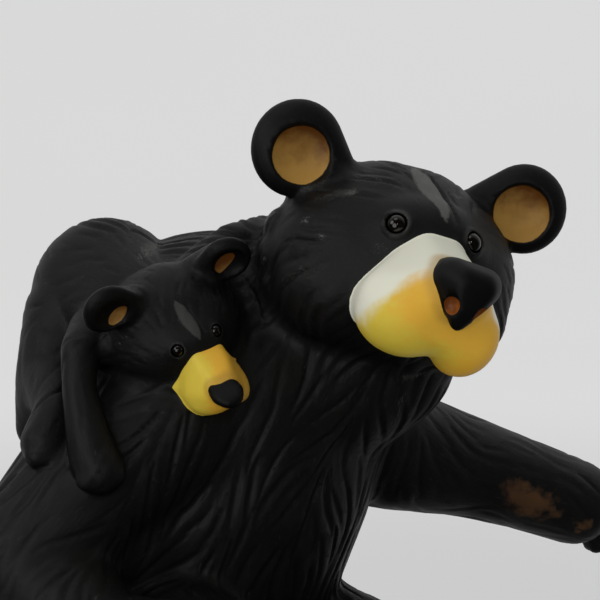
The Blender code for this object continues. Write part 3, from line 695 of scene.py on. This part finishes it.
def traced(near, places, flow, index, length):
    """A path over the skin through a place, along the fur."""
    steps = max(2, round(length / (2 * KNOT_CUTS * CUT_GAP)))
    halves = []
    for way in (-1, 1):
        here, half = index, []
        for _ in range(steps):
            here = near.find(places[here] + flow[here] * (way * length / (2 * steps)))[1]
            half.append(places[here])
        halves.append(half)
    return halves[0][::-1] + [places[index]] + halves[1]


def resampled(path, count):
    """The places at even steps along a path."""
    steps = np.linspace(0, len(path) - 1, count)
    knots = np.array(path)
    return np.stack([np.interp(steps, range(len(path)), knots[:, axis]) for axis in range(3)], axis=1)


def gouge(cuts, near, path, width, depth):
    """Add one tapering groove along a path to the depths that are cut."""
    count = KNOT_CUTS * (len(path) - 1) + 1
    for step, place in enumerate(resampled(path, count)):
        along = step / (count - 1)
        taper = math.sin(math.pi * along ** GROOVE_SKEW) ** GROOVE_FULLNESS
        wide = width * (GROOVE_ENDS + (1 - GROOVE_ENDS) * taper)
        found = near.find_range(place, wide)
        if found:
            index = [item[1] for item in found]
            gaps = np.array([item[2] for item in found]) / wide
            cuts[index] = np.maximum(cuts[index], depth * taper * (1 - gaps ** 2) ** GROOVE_FLANKS)


def carve(grooves, near, places, flow, coats, fur, chance, tries, factors):
    """Add grooves at chance places, each with room of its own."""
    sizes = [np.multiply(factors, bone[3]) for bone in BONES]
    sizes += [np.multiply(factors, HEAD_COAT) * head["size"] for head in HEADS]
    taken = np.full((tries, 3), 1e6)
    count = 0
    for _ in range(tries):
        index = chance.randrange(len(places))
        length, width, depth, gap = sizes[coats[index]]
        own = length * chance.uniform(*VARIETY["length"])
        room = gap * chance.uniform(*VARIETY["gap"])
        away = taken[:count] - places[index]
        along = away @ flow[index]
        aside = lengths(away - np.outer(along, flow[index]))
        if fur[index] > FUR_LEAST and not ((np.abs(along) < OWN_ROOM * own) & (aside < room)).any():
            taken[count] = places[index]
            count += 1
            path = traced(near, places, flow, index, own)
            wide = width * chance.uniform(*VARIETY["width"])
            gouge(grooves, near, path, wide, depth * chance.uniform(*VARIETY["depth"]))


def laid(tree, start, end):
    """A line from one place to another, laid on the skin."""
    steps = range(LAID_STEPS + 1)
    return [tree.find_nearest(Vector(start).lerp(end, step / LAID_STEPS))[0] for step in steps]


def tuft_path(tree, head, aside=0):
    """The line of light fur on a forehead, or one beside it."""
    place = head_matrix(head)
    ends = []
    for x, y, z in head["tuft"]:
        toward = place @ Vector((x + aside, y, z)) - place.translation
        ends.append(tree.ray_cast(place.translation, toward)[0])
    return laid(tree, *ends)


def comb_fur(mesh, fur):
    """Cut the grooves of the coat where there is fur. It returns how far the fur stands up between them."""
    tree = tree_of([mesh])
    places, normals = points_of(mesh), points_of(mesh, "normal")
    near = nearness_of(places)
    flow, coats = fur_field(places, normals)
    for head in HEADS:
        local = in_frame(places, head_matrix(head))
        low, high = FACE_END
        fade = np.clip((local[:, 1] - low) / (high - low), 0, 1)
        fur = np.where(lengths(local) < HEAD_ROOM, fur * fade, fur)
        for side in head["ears"]:
            reach = lengths(in_frame(places, ear_frame(head, side)) / EAR_RADII)
            fur *= np.clip((reach - EAR_BARE[0]) / EAR_BARE[1], 0, 1)
    chance = random.Random(FUR_SEED)
    grooves = np.zeros(len(places))
    for tries, *factors in FUR_ROUNDS:
        carve(grooves, near, places, flow, coats, fur, chance, tries, factors)
    grooves *= fur
    rise = blurred(mesh, grooves, SWELL_ROUNDS) - grooves
    lift = rise.copy()
    for head in HEADS:
        size = head["size"]
        tuft, edge = np.zeros(len(places)), np.zeros(len(places))
        aside, width, depth = TUFT_EDGE
        gouge(tuft, near, tuft_path(tree, head), TUFT_WIDTH * size, TUFT_RISE * size)
        gouge(edge, near, tuft_path(tree, head, aside), width * size, depth * size)
        lift += tuft - edge
    move_points(mesh, places + normals * lift[:, None])
    return rise


def blurred(mesh, values, rounds):
    """Values on the points of a mesh, each mixed with its neighbours' several times."""
    edges = np.empty(len(mesh.edges) * 2, dtype=np.int32)
    mesh.edges.foreach_get("vertices", edges)
    first, second = edges.reshape(-1, 2).T
    count = np.bincount(edges, minlength=len(values))
    for _ in range(rounds):
        total = np.bincount(first, values[second], len(values))
        total = total + np.bincount(second, values[first], len(values))
        values = 0.5 * values + 0.5 * total / np.maximum(count, 1)
    return values


def soften_necks(mesh, zones):
    """Fill the crease where a head meets its neck, so that one flows into the other."""
    places = points_of(mesh)
    share = np.zeros(len(places))
    for zone in zones:
        size = zone["head"]["size"]
        local = in_frame(places, head_matrix(zone["head"]))
        close = np.flatnonzero((lengths(local) < HEAD_ROOM) & (local[:, 2] < NECK_TOP))
        for index in close:
            gaps = [zone[part].find_nearest(Vector(places[index]))[3] for part in ("skull", "body")]
            share[index] = math.exp(-(max(gaps) / (NECK_REACH * size)) ** 2)
    soft = np.stack([blurred(mesh, axis, NECK_ROUNDS) for axis in places.T], axis=1)
    move_points(mesh, places + share[:, None] * (soft - places))


def press_cups(mesh):
    """Hollow the front of each ear to a cup with a rolled rim."""
    room, fade = CUP_ROOM
    places = points_of(mesh)
    for head in HEADS:
        radius, depth, face = head["cup"]
        for side, (_, _, _, (x, z), _) in head["ears"].items():
            ear_shade = ear_frame(head, side)
            local = in_frame(places, ear_shade)
            reach = np.hypot(local[:, 0] - x, local[:, 2] - z)
            behind = local[:, 1] + EAR_RADII[1] + room
            inside = (reach < radius) & (local[:, 1] < CUP_BACK) & (behind > 0)
            bowl = depth * np.sqrt(1 - (reach[inside] / radius) ** 2) - face
            press = np.clip(bowl - local[inside, 1], 0, None)
            local[inside, 1] += press * np.clip(behind[inside] / fade, 0, 1)
            forward = np.array(ear_shade)
            places[inside] = local[inside] @ forward[:3, :3].T + forward[:3, 3]
    move_points(mesh, places)


def raise_lids(mesh, eyes):
    """A raised ring round each eye."""
    places = points_of(mesh)
    for head, middle, normal, radius in eyes:
        size = head["size"]
        away = places - np.array(middle)
        height = away @ np.array(normal)
        reach = lengths(away - np.outer(height, normal))
        ring = radius + EYELID_GAP * size
        lift = EYELID_HEIGHT * size * np.exp(-((reach - ring) / (EYELID_WIDTH * size)) ** 2)
        lift[np.abs(height) > 2 * ring] = 0
        places += np.outer(lift, normal)
    move_points(mesh, places)


def thinned(mesh, triangles):
    """The same form with fewer faces, small where it bends most."""
    obj = new_object("thinned", mesh)
    split = obj.modifiers.new("triangles", "TRIANGULATE")
    split.quad_method = "SHORTEST_DIAGONAL"
    mesh = evaluated_mesh(obj)
    obj = new_object("thinned", mesh)
    thin = obj.modifiers.new("thin", "DECIMATE")
    thin.ratio = triangles / len(mesh.polygons)
    return evaluated_mesh(obj)


def ball(kind, matrix, name=None):
    """A round cutter or piece, from a unit ball put in its place by a matrix."""
    work = bmesh.new()
    steps = BALL_STEPS[kind]
    bmesh.ops.create_uvsphere(work, u_segments=2 * steps, v_segments=steps, radius=1, matrix=matrix)
    return new_object(name or kind, mesh_of(work, name or kind))


def combine(obj, other, operation, paint=None):
    """Add or cut another object, which is used up. The faces that it leaves have a paint of their own."""
    if paint:
        other.data.materials.append(paint)
    change = obj.modifiers.new(operation.lower(), "BOOLEAN")
    change.operation = operation
    change.solver = "MANIFOLD"
    change.object = other
    change.material_mode = "TRANSFER"
    mesh = evaluated_mesh(obj)
    bpy.data.objects.remove(other)
    return new_object("combined", mesh)


def below(height):
    """A cutter for all that lies under a height, in units."""
    work = bmesh.new()
    middle = Matrix.Translation((0, 0, height - CUTTER_SIZE / 2))
    bmesh.ops.create_cube(work, size=CUTTER_SIZE, matrix=middle)
    return new_object("below", mesh_of(work, "below"))


def ground_rise(x, y):
    """The bumps of the ground, in units."""
    return GROUND_SWELL * sum(share * math.sin(across * x + along * y + start)
                              for across, along, start, share in GROUND_WAVES)


def base_slab():
    """Low ground with a rounded upper edge and a slightly uneven top, its underside at z = 0."""
    corners = []
    for side in range(BASE_SIDES):
        angle = 2 * math.pi * side / BASE_SIDES
        corners.append([math.copysign(abs(part) ** (2 / BASE_CORNER_POWER), part)
                        for part in (math.cos(angle), math.sin(angle))])
    profile = [(0.0, 0.0)]
    for step in range(BASE_EDGE_STEPS + 1):
        angle = math.pi / 2 * step / BASE_EDGE_STEPS
        profile.append((BASE_EDGE_RADIUS * (1 - math.cos(angle)),
                        BASE_THICKNESS - BASE_EDGE_RADIUS * (1 - math.sin(angle))))
    work = bmesh.new()
    rings = [[work.verts.new((x * (BASE_WIDTH / 2 - inset), y * (BASE_LENGTH / 2 - inset), height))
              for x, y in corners] for inset, height in profile]
    rim = [vert.co.copy() for vert in rings[-1]]
    for step in range(1, GROUND_RINGS):
        share, swell = 1 - step / GROUND_RINGS, min(1, step / 2)
        places = [(place.x * share, place.y * share) for place in rim]
        rings.append([work.verts.new((x, y, BASE_THICKNESS + swell * ground_rise(x, y))) for x, y in places])
    for lower, upper in zip(rings, rings[1:]):
        for side in range(BASE_SIDES):
            after = (side + 1) % BASE_SIDES
            work.faces.new((lower[side], lower[after], upper[after], upper[side]))
    work.faces.new(reversed(rings[0]))
    work.faces.new(rings[-1])
    return new_object("base", mesh_of(work, "base"))


class Nodes:
    """A short way to write a tree of nodes."""

    def __init__(self, tree):
        self.tree = tree

    def feed(self, socket, value):
        if isinstance(value, bpy.types.NodeSocket):
            self.tree.links.new(value, socket)
        else:
            socket.default_value = value

    def node(self, kind, inputs, **settings):
        made = self.tree.nodes.new(kind)
        for name, value in settings.items():
            setattr(made, name, value)
        for name, value in inputs.items():
            self.feed(made.inputs[name], value)
        return made

    def attribute(self, name, output="Fac"):
        return self.node("ShaderNodeAttribute", {}, attribute_name=name).outputs[output]

    def math(self, operation, first, second=0.0):
        return self.node("ShaderNodeMath", {0: first, 1: second}, operation=operation).outputs[0]

    def add(self, first, second):
        return self.math("ADD", first, second)

    def times(self, first, *others):
        for other in others:
            first = self.math("MULTIPLY", first, other)
        return first

    def step(self, value, low, high):
        """0 at low, 1 at high, and smooth between them."""
        return self.node("ShaderNodeMapRange", {"Value": value, "From Min": low, "From Max": high},
                         interpolation_type="SMOOTHSTEP").outputs["Result"]

    def mix(self, share, first, second):
        made = self.node("ShaderNodeMix", {"Factor": share}, data_type="RGBA")
        self.feed(made.inputs[6], first)
        self.feed(made.inputs[7], second)
        return made.outputs[2]

    def blend(self, share, first, second):
        made = self.node("ShaderNodeMix", {"Factor": share}, data_type="FLOAT")
        self.feed(made.inputs[2], first)
        self.feed(made.inputs[3], second)
        return made.outputs[0]

    def noise(self, place, scale, detail, roughness=0.55):
        return self.node("ShaderNodeTexNoise", {"Vector": place, "Scale": scale, "Detail": detail,
                                                "Roughness": roughness}).outputs["Fac"]

    def fade(self, paint, value, noise=None):
        """How much of a paint comes in, where a noise makes its edge ragged."""
        low, high, ragged, strength = FADES[paint]
        if ragged:
            value = self.add(value, self.times(self.math("SUBTRACT", noise, 0.5), ragged))
        share = self.step(value, low, high)
        return share if strength == 1 else self.times(share, strength)

    def bump(self, height, distance, strength=1.0, normal=None):
        made = self.node("ShaderNodeBump", {"Height": height, "Distance": distance, "Strength": strength})
        if normal:
            self.feed(made.inputs["Normal"], normal)
        return made.outputs["Normal"]

    def object_place(self):
        return self.node("ShaderNodeTexCoord", {}).outputs["Object"]

    def split(self, vector):
        return self.node("ShaderNodeSeparateXYZ", {"Vector": vector}).outputs[:3]


class Paint(Nodes):
    """The nodes of one material."""

    def __init__(self, name, **settings):
        self.material = bpy.data.materials.new(name)
        self.material.use_nodes = True
        super().__init__(self.material.node_tree)
        self.set(**settings)

    def set(self, **settings):
        """Feed sockets of the shader, each by its name."""
        for socket, value in settings.items():
            self.feed(self.tree.nodes["Principled BSDF"].inputs[socket.replace("_", " ")], value)


def coat_colour(paint, place, streaks, blots):
    """Black, with grey left on the ridges by a dry brush, light tufts and brown pads."""
    hairs = paint.noise(paint.attribute("comb", "Vector"), *HAIRS)
    patches = paint.noise(place, *PATCHES)
    worn = paint.times(paint.fade("ridge", paint.attribute("ridge"), streaks), paint.fade("patch", patches))
    colour = paint.mix(worn, BLACK, WORN)
    colour = paint.mix(paint.fade("stroke", paint.attribute("stroke"), hairs), colour, TUFT_GREY)
    ring = paint.times(paint.attribute("lid"), paint.fade("ring", blots))
    colour = paint.mix(ring, colour, TUFT_GREY)
    mark, tone, _ = paint.split(paint.attribute("tuft", "Vector"))
    colour = paint.mix(paint.times(paint.fade("tuft", mark, streaks), tone), colour, TUFT_GREY)
    pad = paint.fade("pad", paint.attribute("pad"), blots)
    return paint.mix(pad, colour, paint.mix(patches, PAD_BROWN, PAD_LIGHT))


def muzzle_colour(paint, face, cloud):
    """Cream on top, yellow below, amber towards the nose and on the far side."""
    x, y, z = paint.split(face)
    height = paint.add(z, paint.times(paint.fade("drop", y), NOSE_DROP))
    end = paint.math("MAXIMUM", paint.fade("front", y, cloud), paint.fade("aside", x, cloud))
    stain_and_shade = paint.mix(paint.fade("amber", end, paint.noise(face, *WASH)), YELLOW, AMBER)
    colour = paint.mix(paint.fade("yellow", height, cloud), CREAM, stain_and_shade)
    # Only the cub's muzzle lies so low here, by the cub's stain and shade value, and its left side is ochre,
    # painted darker as shade
    return paint.mix(paint.times(paint.fade("shaded_ochre_side", x, cloud), paint.fade("low", z)), colour, SHADED_OCHRE)


def casting_paint():
    """Black satin over carved fur, with a painted muzzle, nose, ears, tuft and pads."""
    paint = Paint("painted_resin", Specular_IOR_Level=0.2)
    place = paint.object_place()
    streaks = paint.noise(paint.attribute("comb", "Vector"), *STREAKS)
    blots = paint.noise(place, *BLOTS)
    grain = paint.noise(place, *GRAIN)
    face = paint.attribute("face", "Vector")
    cloud = paint.noise(face, *CLOUD)

    muzzle = paint.fade("edge", paint.attribute("muzzle"))
    colour = paint.mix(muzzle, coat_colour(paint, place, streaks, blots), muzzle_colour(paint, face, cloud))
    nose_gap = paint.attribute("nose")
    # Ochre round the nose on the muzzle: a darker dab of paint, with painted shade where the nose meets the
    # muzzle
    colour = paint.mix(paint.times(paint.fade("nose_shade", nose_gap, cloud), muzzle), colour, SHADED_OCHRE)
    nose = paint.times(paint.fade("edge", nose_gap), muzzle)
    colour = paint.mix(nose, colour, NOSE_BLACK)

    # The ears: a dark rim, and orange in the cups, a deeper orange towards the top with painted shade of the
    # rim over it
    hollow, spot, above = paint.split(paint.attribute("cup", "Vector"))
    colour = paint.mix(paint.fade("rim", hollow), colour, NOSE_BLACK)
    cup = paint.fade("cup", spot, blots)
    colour = paint.mix(cup, colour, paint.mix(paint.fade("ear_shade", above, blots), EAR_SHADED, EAR_LIGHT))

    bright = paint.math("MAXIMUM", muzzle, cup)
    rough = paint.blend(bright, paint.blend(grain, *SATIN), ENAMEL)
    hair = paint.bump(paint.times(streaks, paint.math("SUBTRACT", 1.0, bright)), *HAIR_RELIEF)
    paint.set(Base_Color=colour, Roughness=paint.blend(nose, rough, NOSE_ROUGHNESS),
              Normal=paint.bump(grain, *GRAIN_RELIEF, hair))
    return paint.material


def plain_paint(name, colour, other, scale, roughness, relief):
    """Two colours clouded into each other, with a fine grain."""
    paint = Paint(name, Specular_IOR_Level=0.25)
    grain = paint.noise(paint.object_place(), scale, 5.0)
    paint.set(Base_Color=paint.mix(paint.fade("clouds", grain), colour, other),
              Roughness=paint.blend(grain, roughness, roughness + GRAIN_ROUGHNESS),
              Normal=paint.bump(grain, relief))
    return paint.material


def glass():
    paint = Paint("dark_glass", Roughness=0.04, Specular_IOR_Level=0.5)
    depth = paint.noise(paint.object_place(), 900.0, 2.0)
    paint.set(Base_Color=paint.mix(depth, GLASS_BROWN, GLASS_LIGHT))
    return paint.material


def eye_places():
    """Each eye of the frame: its node, its head, its middle and its radius in units."""
    found = []
    for owner, head in zip(("mother", "cub"), HEADS):
        for side in ("right", "left"):
            low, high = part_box(f"{owner}_eye_{side}")
            middle = TO_METRES.inverted() @ ((low + high) / 2)
            radius = max(high - low) / 2 / UNIT
            found.append((f"{owner}_eye_{side}", head, middle, radius))
    return found


def fur_coordinates(places):
    """Places in the frame of the bone or guide that the fur there follows, pressed together along it."""
    best = np.full(len(places), np.inf)
    comb = np.zeros((len(places), 3))
    bones = [(start, end, reach) for start, end, reach, _ in BONES]
    bones += [(start, end, GUIDE_REACH) for start, end in GUIDES]
    for head in HEADS:
        first, last = (head_matrix(head) @ Vector((0, along, 0)) for along in HEAD_BONE)
        bones.append((first, last, HEAD_BONE_REACH * head["size"]))
    for start, end, reach in bones:
        gap = bone_gaps(places, start, end) / reach
        turn = np.array((Vector(end) - Vector(start)).to_track_quat("Z", "Y").to_matrix())
        local = np.subtract(places, start) @ turn * COMB_SCALE
        nearer = gap < best
        best[nearer] = gap[nearer]
        comb[nearer] = local[nearer]
    return comb


def face_coordinates(places):
    """Places in the frame of the nearer muzzle, in the head's own units, moved by its stain and shade value,
    which spreads the yellow and, on the cub, the amber and the painted shade of ochre over its far side.
    """
    gaps, local = [], []
    for head in HEADS:
        middle = np.array(snout_matrix(head) @ Vector(MUZZLE_MIDDLE))
        gaps.append(lengths(places - middle) / head["size"])
        local.append(in_frame(places, snout_matrix(head)) - (-head["stain_and_shade"] / 4, 0, head["stain_and_shade"]))
    return np.where((gaps[0] < gaps[1])[:, None], *local)


def cup_gaps(places):
    """How far each place is inside the hollow of an ear, inside the paint in it, and above its middle, raised
    by the head's stain and shade value; the last sets how far the painted shade at the top of a cup reaches.
    """
    cup = np.tile((OUTSIDE, OUTSIDE, 0.0), (len(places), 1))
    for head in HEADS:
        for side, (_, _, _, (x, z), _) in head["ears"].items():
            local = in_frame(places, ear_frame(head, side))
            right, up, wide, high, turn = head["spots"][side]
            across, above = local[:, 0] - x, local[:, 2] - z
            hollow = head["cup"][0] - CUP_LIP - np.hypot(across, above)
            turn = math.radians(turn)
            along = (across - right) * math.cos(turn) + (above - up) * math.sin(turn)
            aside = (above - up) * math.cos(turn) - (across - right) * math.sin(turn)
            paint = (1 - np.hypot(along / wide, aside / high)) * high
            near = (local[:, 1] < EAR_FRONT) & (np.abs(local) < EAR_REACH).all(axis=1)
            front = near & (hollow > cup[:, 0])
            # Height in the cup for its painted shade: the top is darkened as the shade of the rim, and the
            # cub's spots more so
            shade_height = above + head["stain_and_shade"] / 4
            cup[front] = np.stack([hollow, np.minimum(paint, hollow), shade_height], axis=1)[front]
    return cup


def line_gaps(places, path, width):
    """How far each place is inside a lens-shaped mark along a path, as a share of its half width."""
    line = resampled(path, MARK_STEPS)
    value = np.full(len(places), -1.0)
    close = np.flatnonzero(lengths(places - np.mean(path, axis=0)) < MARK_REACH)
    gaps = np.linalg.norm(places[close][:, None] - line[None], axis=2)
    along = gaps.argmin(axis=1) / (MARK_STEPS - 1)
    wide = width * np.sin(math.pi * np.clip(along, 0.01, 0.99)) ** MARK_FULLNESS
    value[close] = np.clip((wide - gaps.min(axis=1)) / width, -1, 1)
    return value


def tuft_marks(places, paths):
    """How far each place is inside the tuft of a forehead, and how light that tuft is."""
    marks = np.tile((-1.0, 0.0, 0.0), (len(places), 1))
    for path, head in zip(paths, HEADS):
        gap = line_gaps(places, path, TUFT_WIDTH * head["size"])
        marks[gap > -1, 0] = gap[gap > -1]
        marks[gap > -1, 1] = head["grey"]
    return marks


def lid_marks(places, eyes):
    """How near each place is to the grey line on the ring round an eye."""
    rings = []
    for head, middle, _, radius in eyes:
        gap = lengths(places - np.array(middle)) - radius - LID_PLACE * head["size"]
        rings.append(head["size"] * np.exp(-(gap / (LID_WIDTH * head["size"])) ** 2))
    return np.max(rings, axis=0)


def keep_attribute(mesh, name, values):
    kind = "FLOAT_VECTOR" if values.ndim == 2 else "FLOAT"
    field = "vector" if values.ndim == 2 else "value"
    mesh.attributes.new(name, kind, "POINT").data.foreach_set(field, values.astype(np.float32).ravel())


def fur_share(places, zones, eyes):
    """1 where there is fur, and down to 0 on the muzzles, in the ear cups and round the eyes."""
    muzzle, _ = zone_gaps(places, zones)
    fur = np.clip(-muzzle / BARE["muzzle"], 0, 1) * np.clip(-cup_gaps(places)[:, 0] / BARE["cup"], 0, 1)
    for head, middle, _, radius in eyes:
        gap = lengths(places - np.array(middle))
        fur *= np.clip((gap - radius - EYE_ROOM * head["size"]) / BARE["eye"], 0, 1)
    return fur


def cast_whole(form, eyes):
    """The casting as one closed piece: the figure, its nostrils and eye sockets, and the ground."""
    cast = new_object("cast", thinned(form, CASTING_TRIANGLES))
    cast.data.materials.clear()
    cast.data.materials.append(casting_paint())
    lift = Matrix.Translation((0, 0, LIFT))
    cast.data.transform(lift)
    paints = {name: plain_paint(name, *look) for name, look in SMALL_PAINTS.items()}
    for head in HEADS:
        for side in (-1, 1):
            x, y, z = NOSTRIL[0]
            cutter = ball("nostril", lift @ nose_matrix(head) @ placed((side * x, y, z), NOSTRIL[1]))
            cast = combine(cast, cutter, "DIFFERENCE", paints["nostril_paint"])
    for _, middle, _, radius in eyes:
        cutter = ball("socket", lift @ placed(middle, (radius + EYE_FIT,) * 3))
        cast = combine(cast, cutter, "DIFFERENCE", paints["socket_paint"])
    cast = combine(cast, below(FIGURE_CUT * BASE_THICKNESS), "DIFFERENCE")
    return combine(cast, base_slab(), "UNION", paints["earth_paint"])


def make_casting():
    form, zones = sculpted()
    soften_necks(form, zones)
    soft = points_of(form)
    tree = tree_of([form])
    # Each eye's head, middle, outward direction and radius
    eyes = [(head, middle, tree.find_nearest(middle)[1], radius) for _, head, middle, radius in eye_places()]
    tufts = [tuft_path(tree, head) for head in HEADS]
    strokes = [(laid(tree, start, end), width, strength) for start, end, width, strength in STROKES]
    pads = [(laid(tree, start, end), width) for start, end, width in PADS]
    ridge = comb_fur(form, fur_share(soft, zones, eyes)) / RIDGE_HEIGHT
    press_cups(form)
    raise_lids(form, eyes)
    pressed = points_of(form)
    shift, near = pressed - soft, nearness_of(pressed)

    cast = cast_whole(form, eyes)
    cast.name = cast.data.name = "bear_casting"
    places = points_of(cast.data) - (0, 0, LIFT)
    nearest = np.array([near.find(place)[1] for place in places])
    muzzle, nose = zone_gaps(places - shift[nearest], zones)
    marks = {
        "muzzle": muzzle, "nose": nose, "ridge": ridge[nearest], "cup": cup_gaps(places),
        "comb": fur_coordinates(places), "face": face_coordinates(places),
        "tuft": tuft_marks(places, tufts), "lid": lid_marks(places, eyes),
        "stroke": np.max([strength * np.clip(line_gaps(places, path, width) + STROKE_SPREAD, 0, 1)
                          for path, width, strength in strokes], axis=0),
        "pad": np.max([line_gaps(places, path, width) for path, width in pads], axis=0),
    }
    for name, values in marks.items():
        keep_attribute(cast.data, name, values)
    cast.data.transform(Matrix.Scale(UNIT, 4))
    cast.data.shade_smooth()
    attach(cast, "root")
    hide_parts("bear_and_cub")


def make_eyes():
    shade_height = glass()
    for name, _, middle, radius in eye_places():
        eye = ball("glass", TO_METRES @ placed(middle, (radius,) * 3), "glass_" + name)
        eye.data.shade_smooth()
        eye.data.materials.append(shade_height)
        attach(eye, "root")
        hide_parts(name)


def make_camera():
    back = outward(VIEW["azimuth"], VIEW["elevation"])
    camera = new_object("camera", bpy.data.cameras.new("camera"))
    camera.data.sensor_width = SENSOR
    camera.data.lens = SENSOR * VIEW["distance"] / VIEW["width"]
    camera.location = TO_METRES @ Vector(VIEW["aim"]) + back * VIEW["distance"] * UNIT
    camera.rotation_euler = (-back).to_track_quat("-Z", "Y").to_euler()
    camera.data.clip_start, camera.data.clip_end = CAMERA_CLIP
    bpy.context.scene.camera = camera


def make_stage():
    """A pale floor that rises all round into a backdrop, as a wide shallow bowl. It glows instead of being
    lit, and glows less near the figure, as painted shade round it.
    """
    profile = [(FLOOR_REACH * ring / FLOOR_RINGS, 0.0) for ring in range(FLOOR_RINGS + 1)]
    for ring in range(1, BEND_RINGS + 1):
        angle = math.pi / 2 * ring / BEND_RINGS
        profile.append((FLOOR_REACH + BEND_RADIUS * math.sin(angle), BEND_RADIUS * (1 - math.cos(angle))))
    for ring in range(1, WALL_RINGS + 1):
        profile.append((FLOOR_REACH + BEND_RADIUS, BEND_RADIUS + WALL_HEIGHT * ring / WALL_RINGS))
    work = bmesh.new()
    spin = [work.verts.new((x, 0, z)) for x, z in profile]
    edges = [work.edges.new(pair) for pair in zip(spin, spin[1:])]
    bmesh.ops.spin(work, geom=spin + edges, cent=(0, 0, 0), axis=(0, 0, 1), angle=2 * math.pi,
                   steps=FLOOR_SIDES)
    bmesh.ops.remove_doubles(work, verts=work.verts, dist=1e-5)
    bmesh.ops.recalc_face_normals(work, faces=work.faces)
    mesh = mesh_of(work, "studio_floor")
    mesh.shade_smooth()
    paint = Paint("studio_paper", Roughness=0.95, Specular_IOR_Level=0.0, Emission_Strength=PAPER_GLOW)
    place = paint.object_place()
    soft = paint.noise(place, 1.5, 2.0)
    reach = paint.node("ShaderNodeVectorMath", {0: place}, operation="LENGTH").outputs["Value"]
    # A glow that is weaker near the middle of the floor: painted shade round the figure
    paint.set(Base_Color=paint.mix(soft, PAPER, PAPER_DARK),
              Emission_Color=paint.mix(paint.step(reach, *NEAR_SHADE_RANGE), SHADED_NEAR_GLOW, FAR_GLOW))
    mesh.materials.append(paint.material)
    floor = new_object("studio_floor", mesh)
    floor.visible_diffuse = floor.visible_glossy = False


def add_lamp(name, azimuth, elevation, distance, size, power):
    """A soft box that faces the figurine."""
    away = outward(azimuth, elevation)
    lamp = bpy.data.lights.new(name, "AREA")
    lamp.shape = "DISK"
    lamp.size = size
    lamp.energy = power
    obj = new_object(name, lamp)
    obj.location = Vector((0, 0, LAMP_AIM)) + away * distance
    obj.rotation_euler = (-away).to_track_quat("-Z", "Y").to_euler()
    obj.visible_camera = False


def make_light():
    """Soft boxes, most of them left of the camera, and a room that mirrors brighter behind the bear."""
    for lamp in LAMPS:
        add_lamp(*lamp)
    world = bpy.data.worlds.new("studio")
    world.use_nodes = True
    room = Nodes(world.node_tree)
    backdrop = room.tree.nodes["Background"]
    way = room.node("ShaderNodeTexCoord", {}).outputs["Generated"]
    side = room.node("ShaderNodeVectorMath", {0: way, 1: ROOM_WAY}, operation="DOT_PRODUCT").outputs["Value"]
    gloss = room.node("ShaderNodeMapRange", {"Value": side, **ROOM_RANGE}).outputs["Result"]
    mirrored_ray = room.node("ShaderNodeLightPath", {}).outputs["Is Glossy Ray"]
    room.feed(backdrop.inputs["Strength"], room.blend(mirrored_ray, ROOM_FILL, gloss))
    backdrop.inputs["Color"].default_value = ROOM_COLOUR
    bpy.context.scene.world = world
    bpy.context.scene.view_settings.view_transform = "Standard"


make_camera()
make_stage()
make_light()
make_casting()
make_eyes()
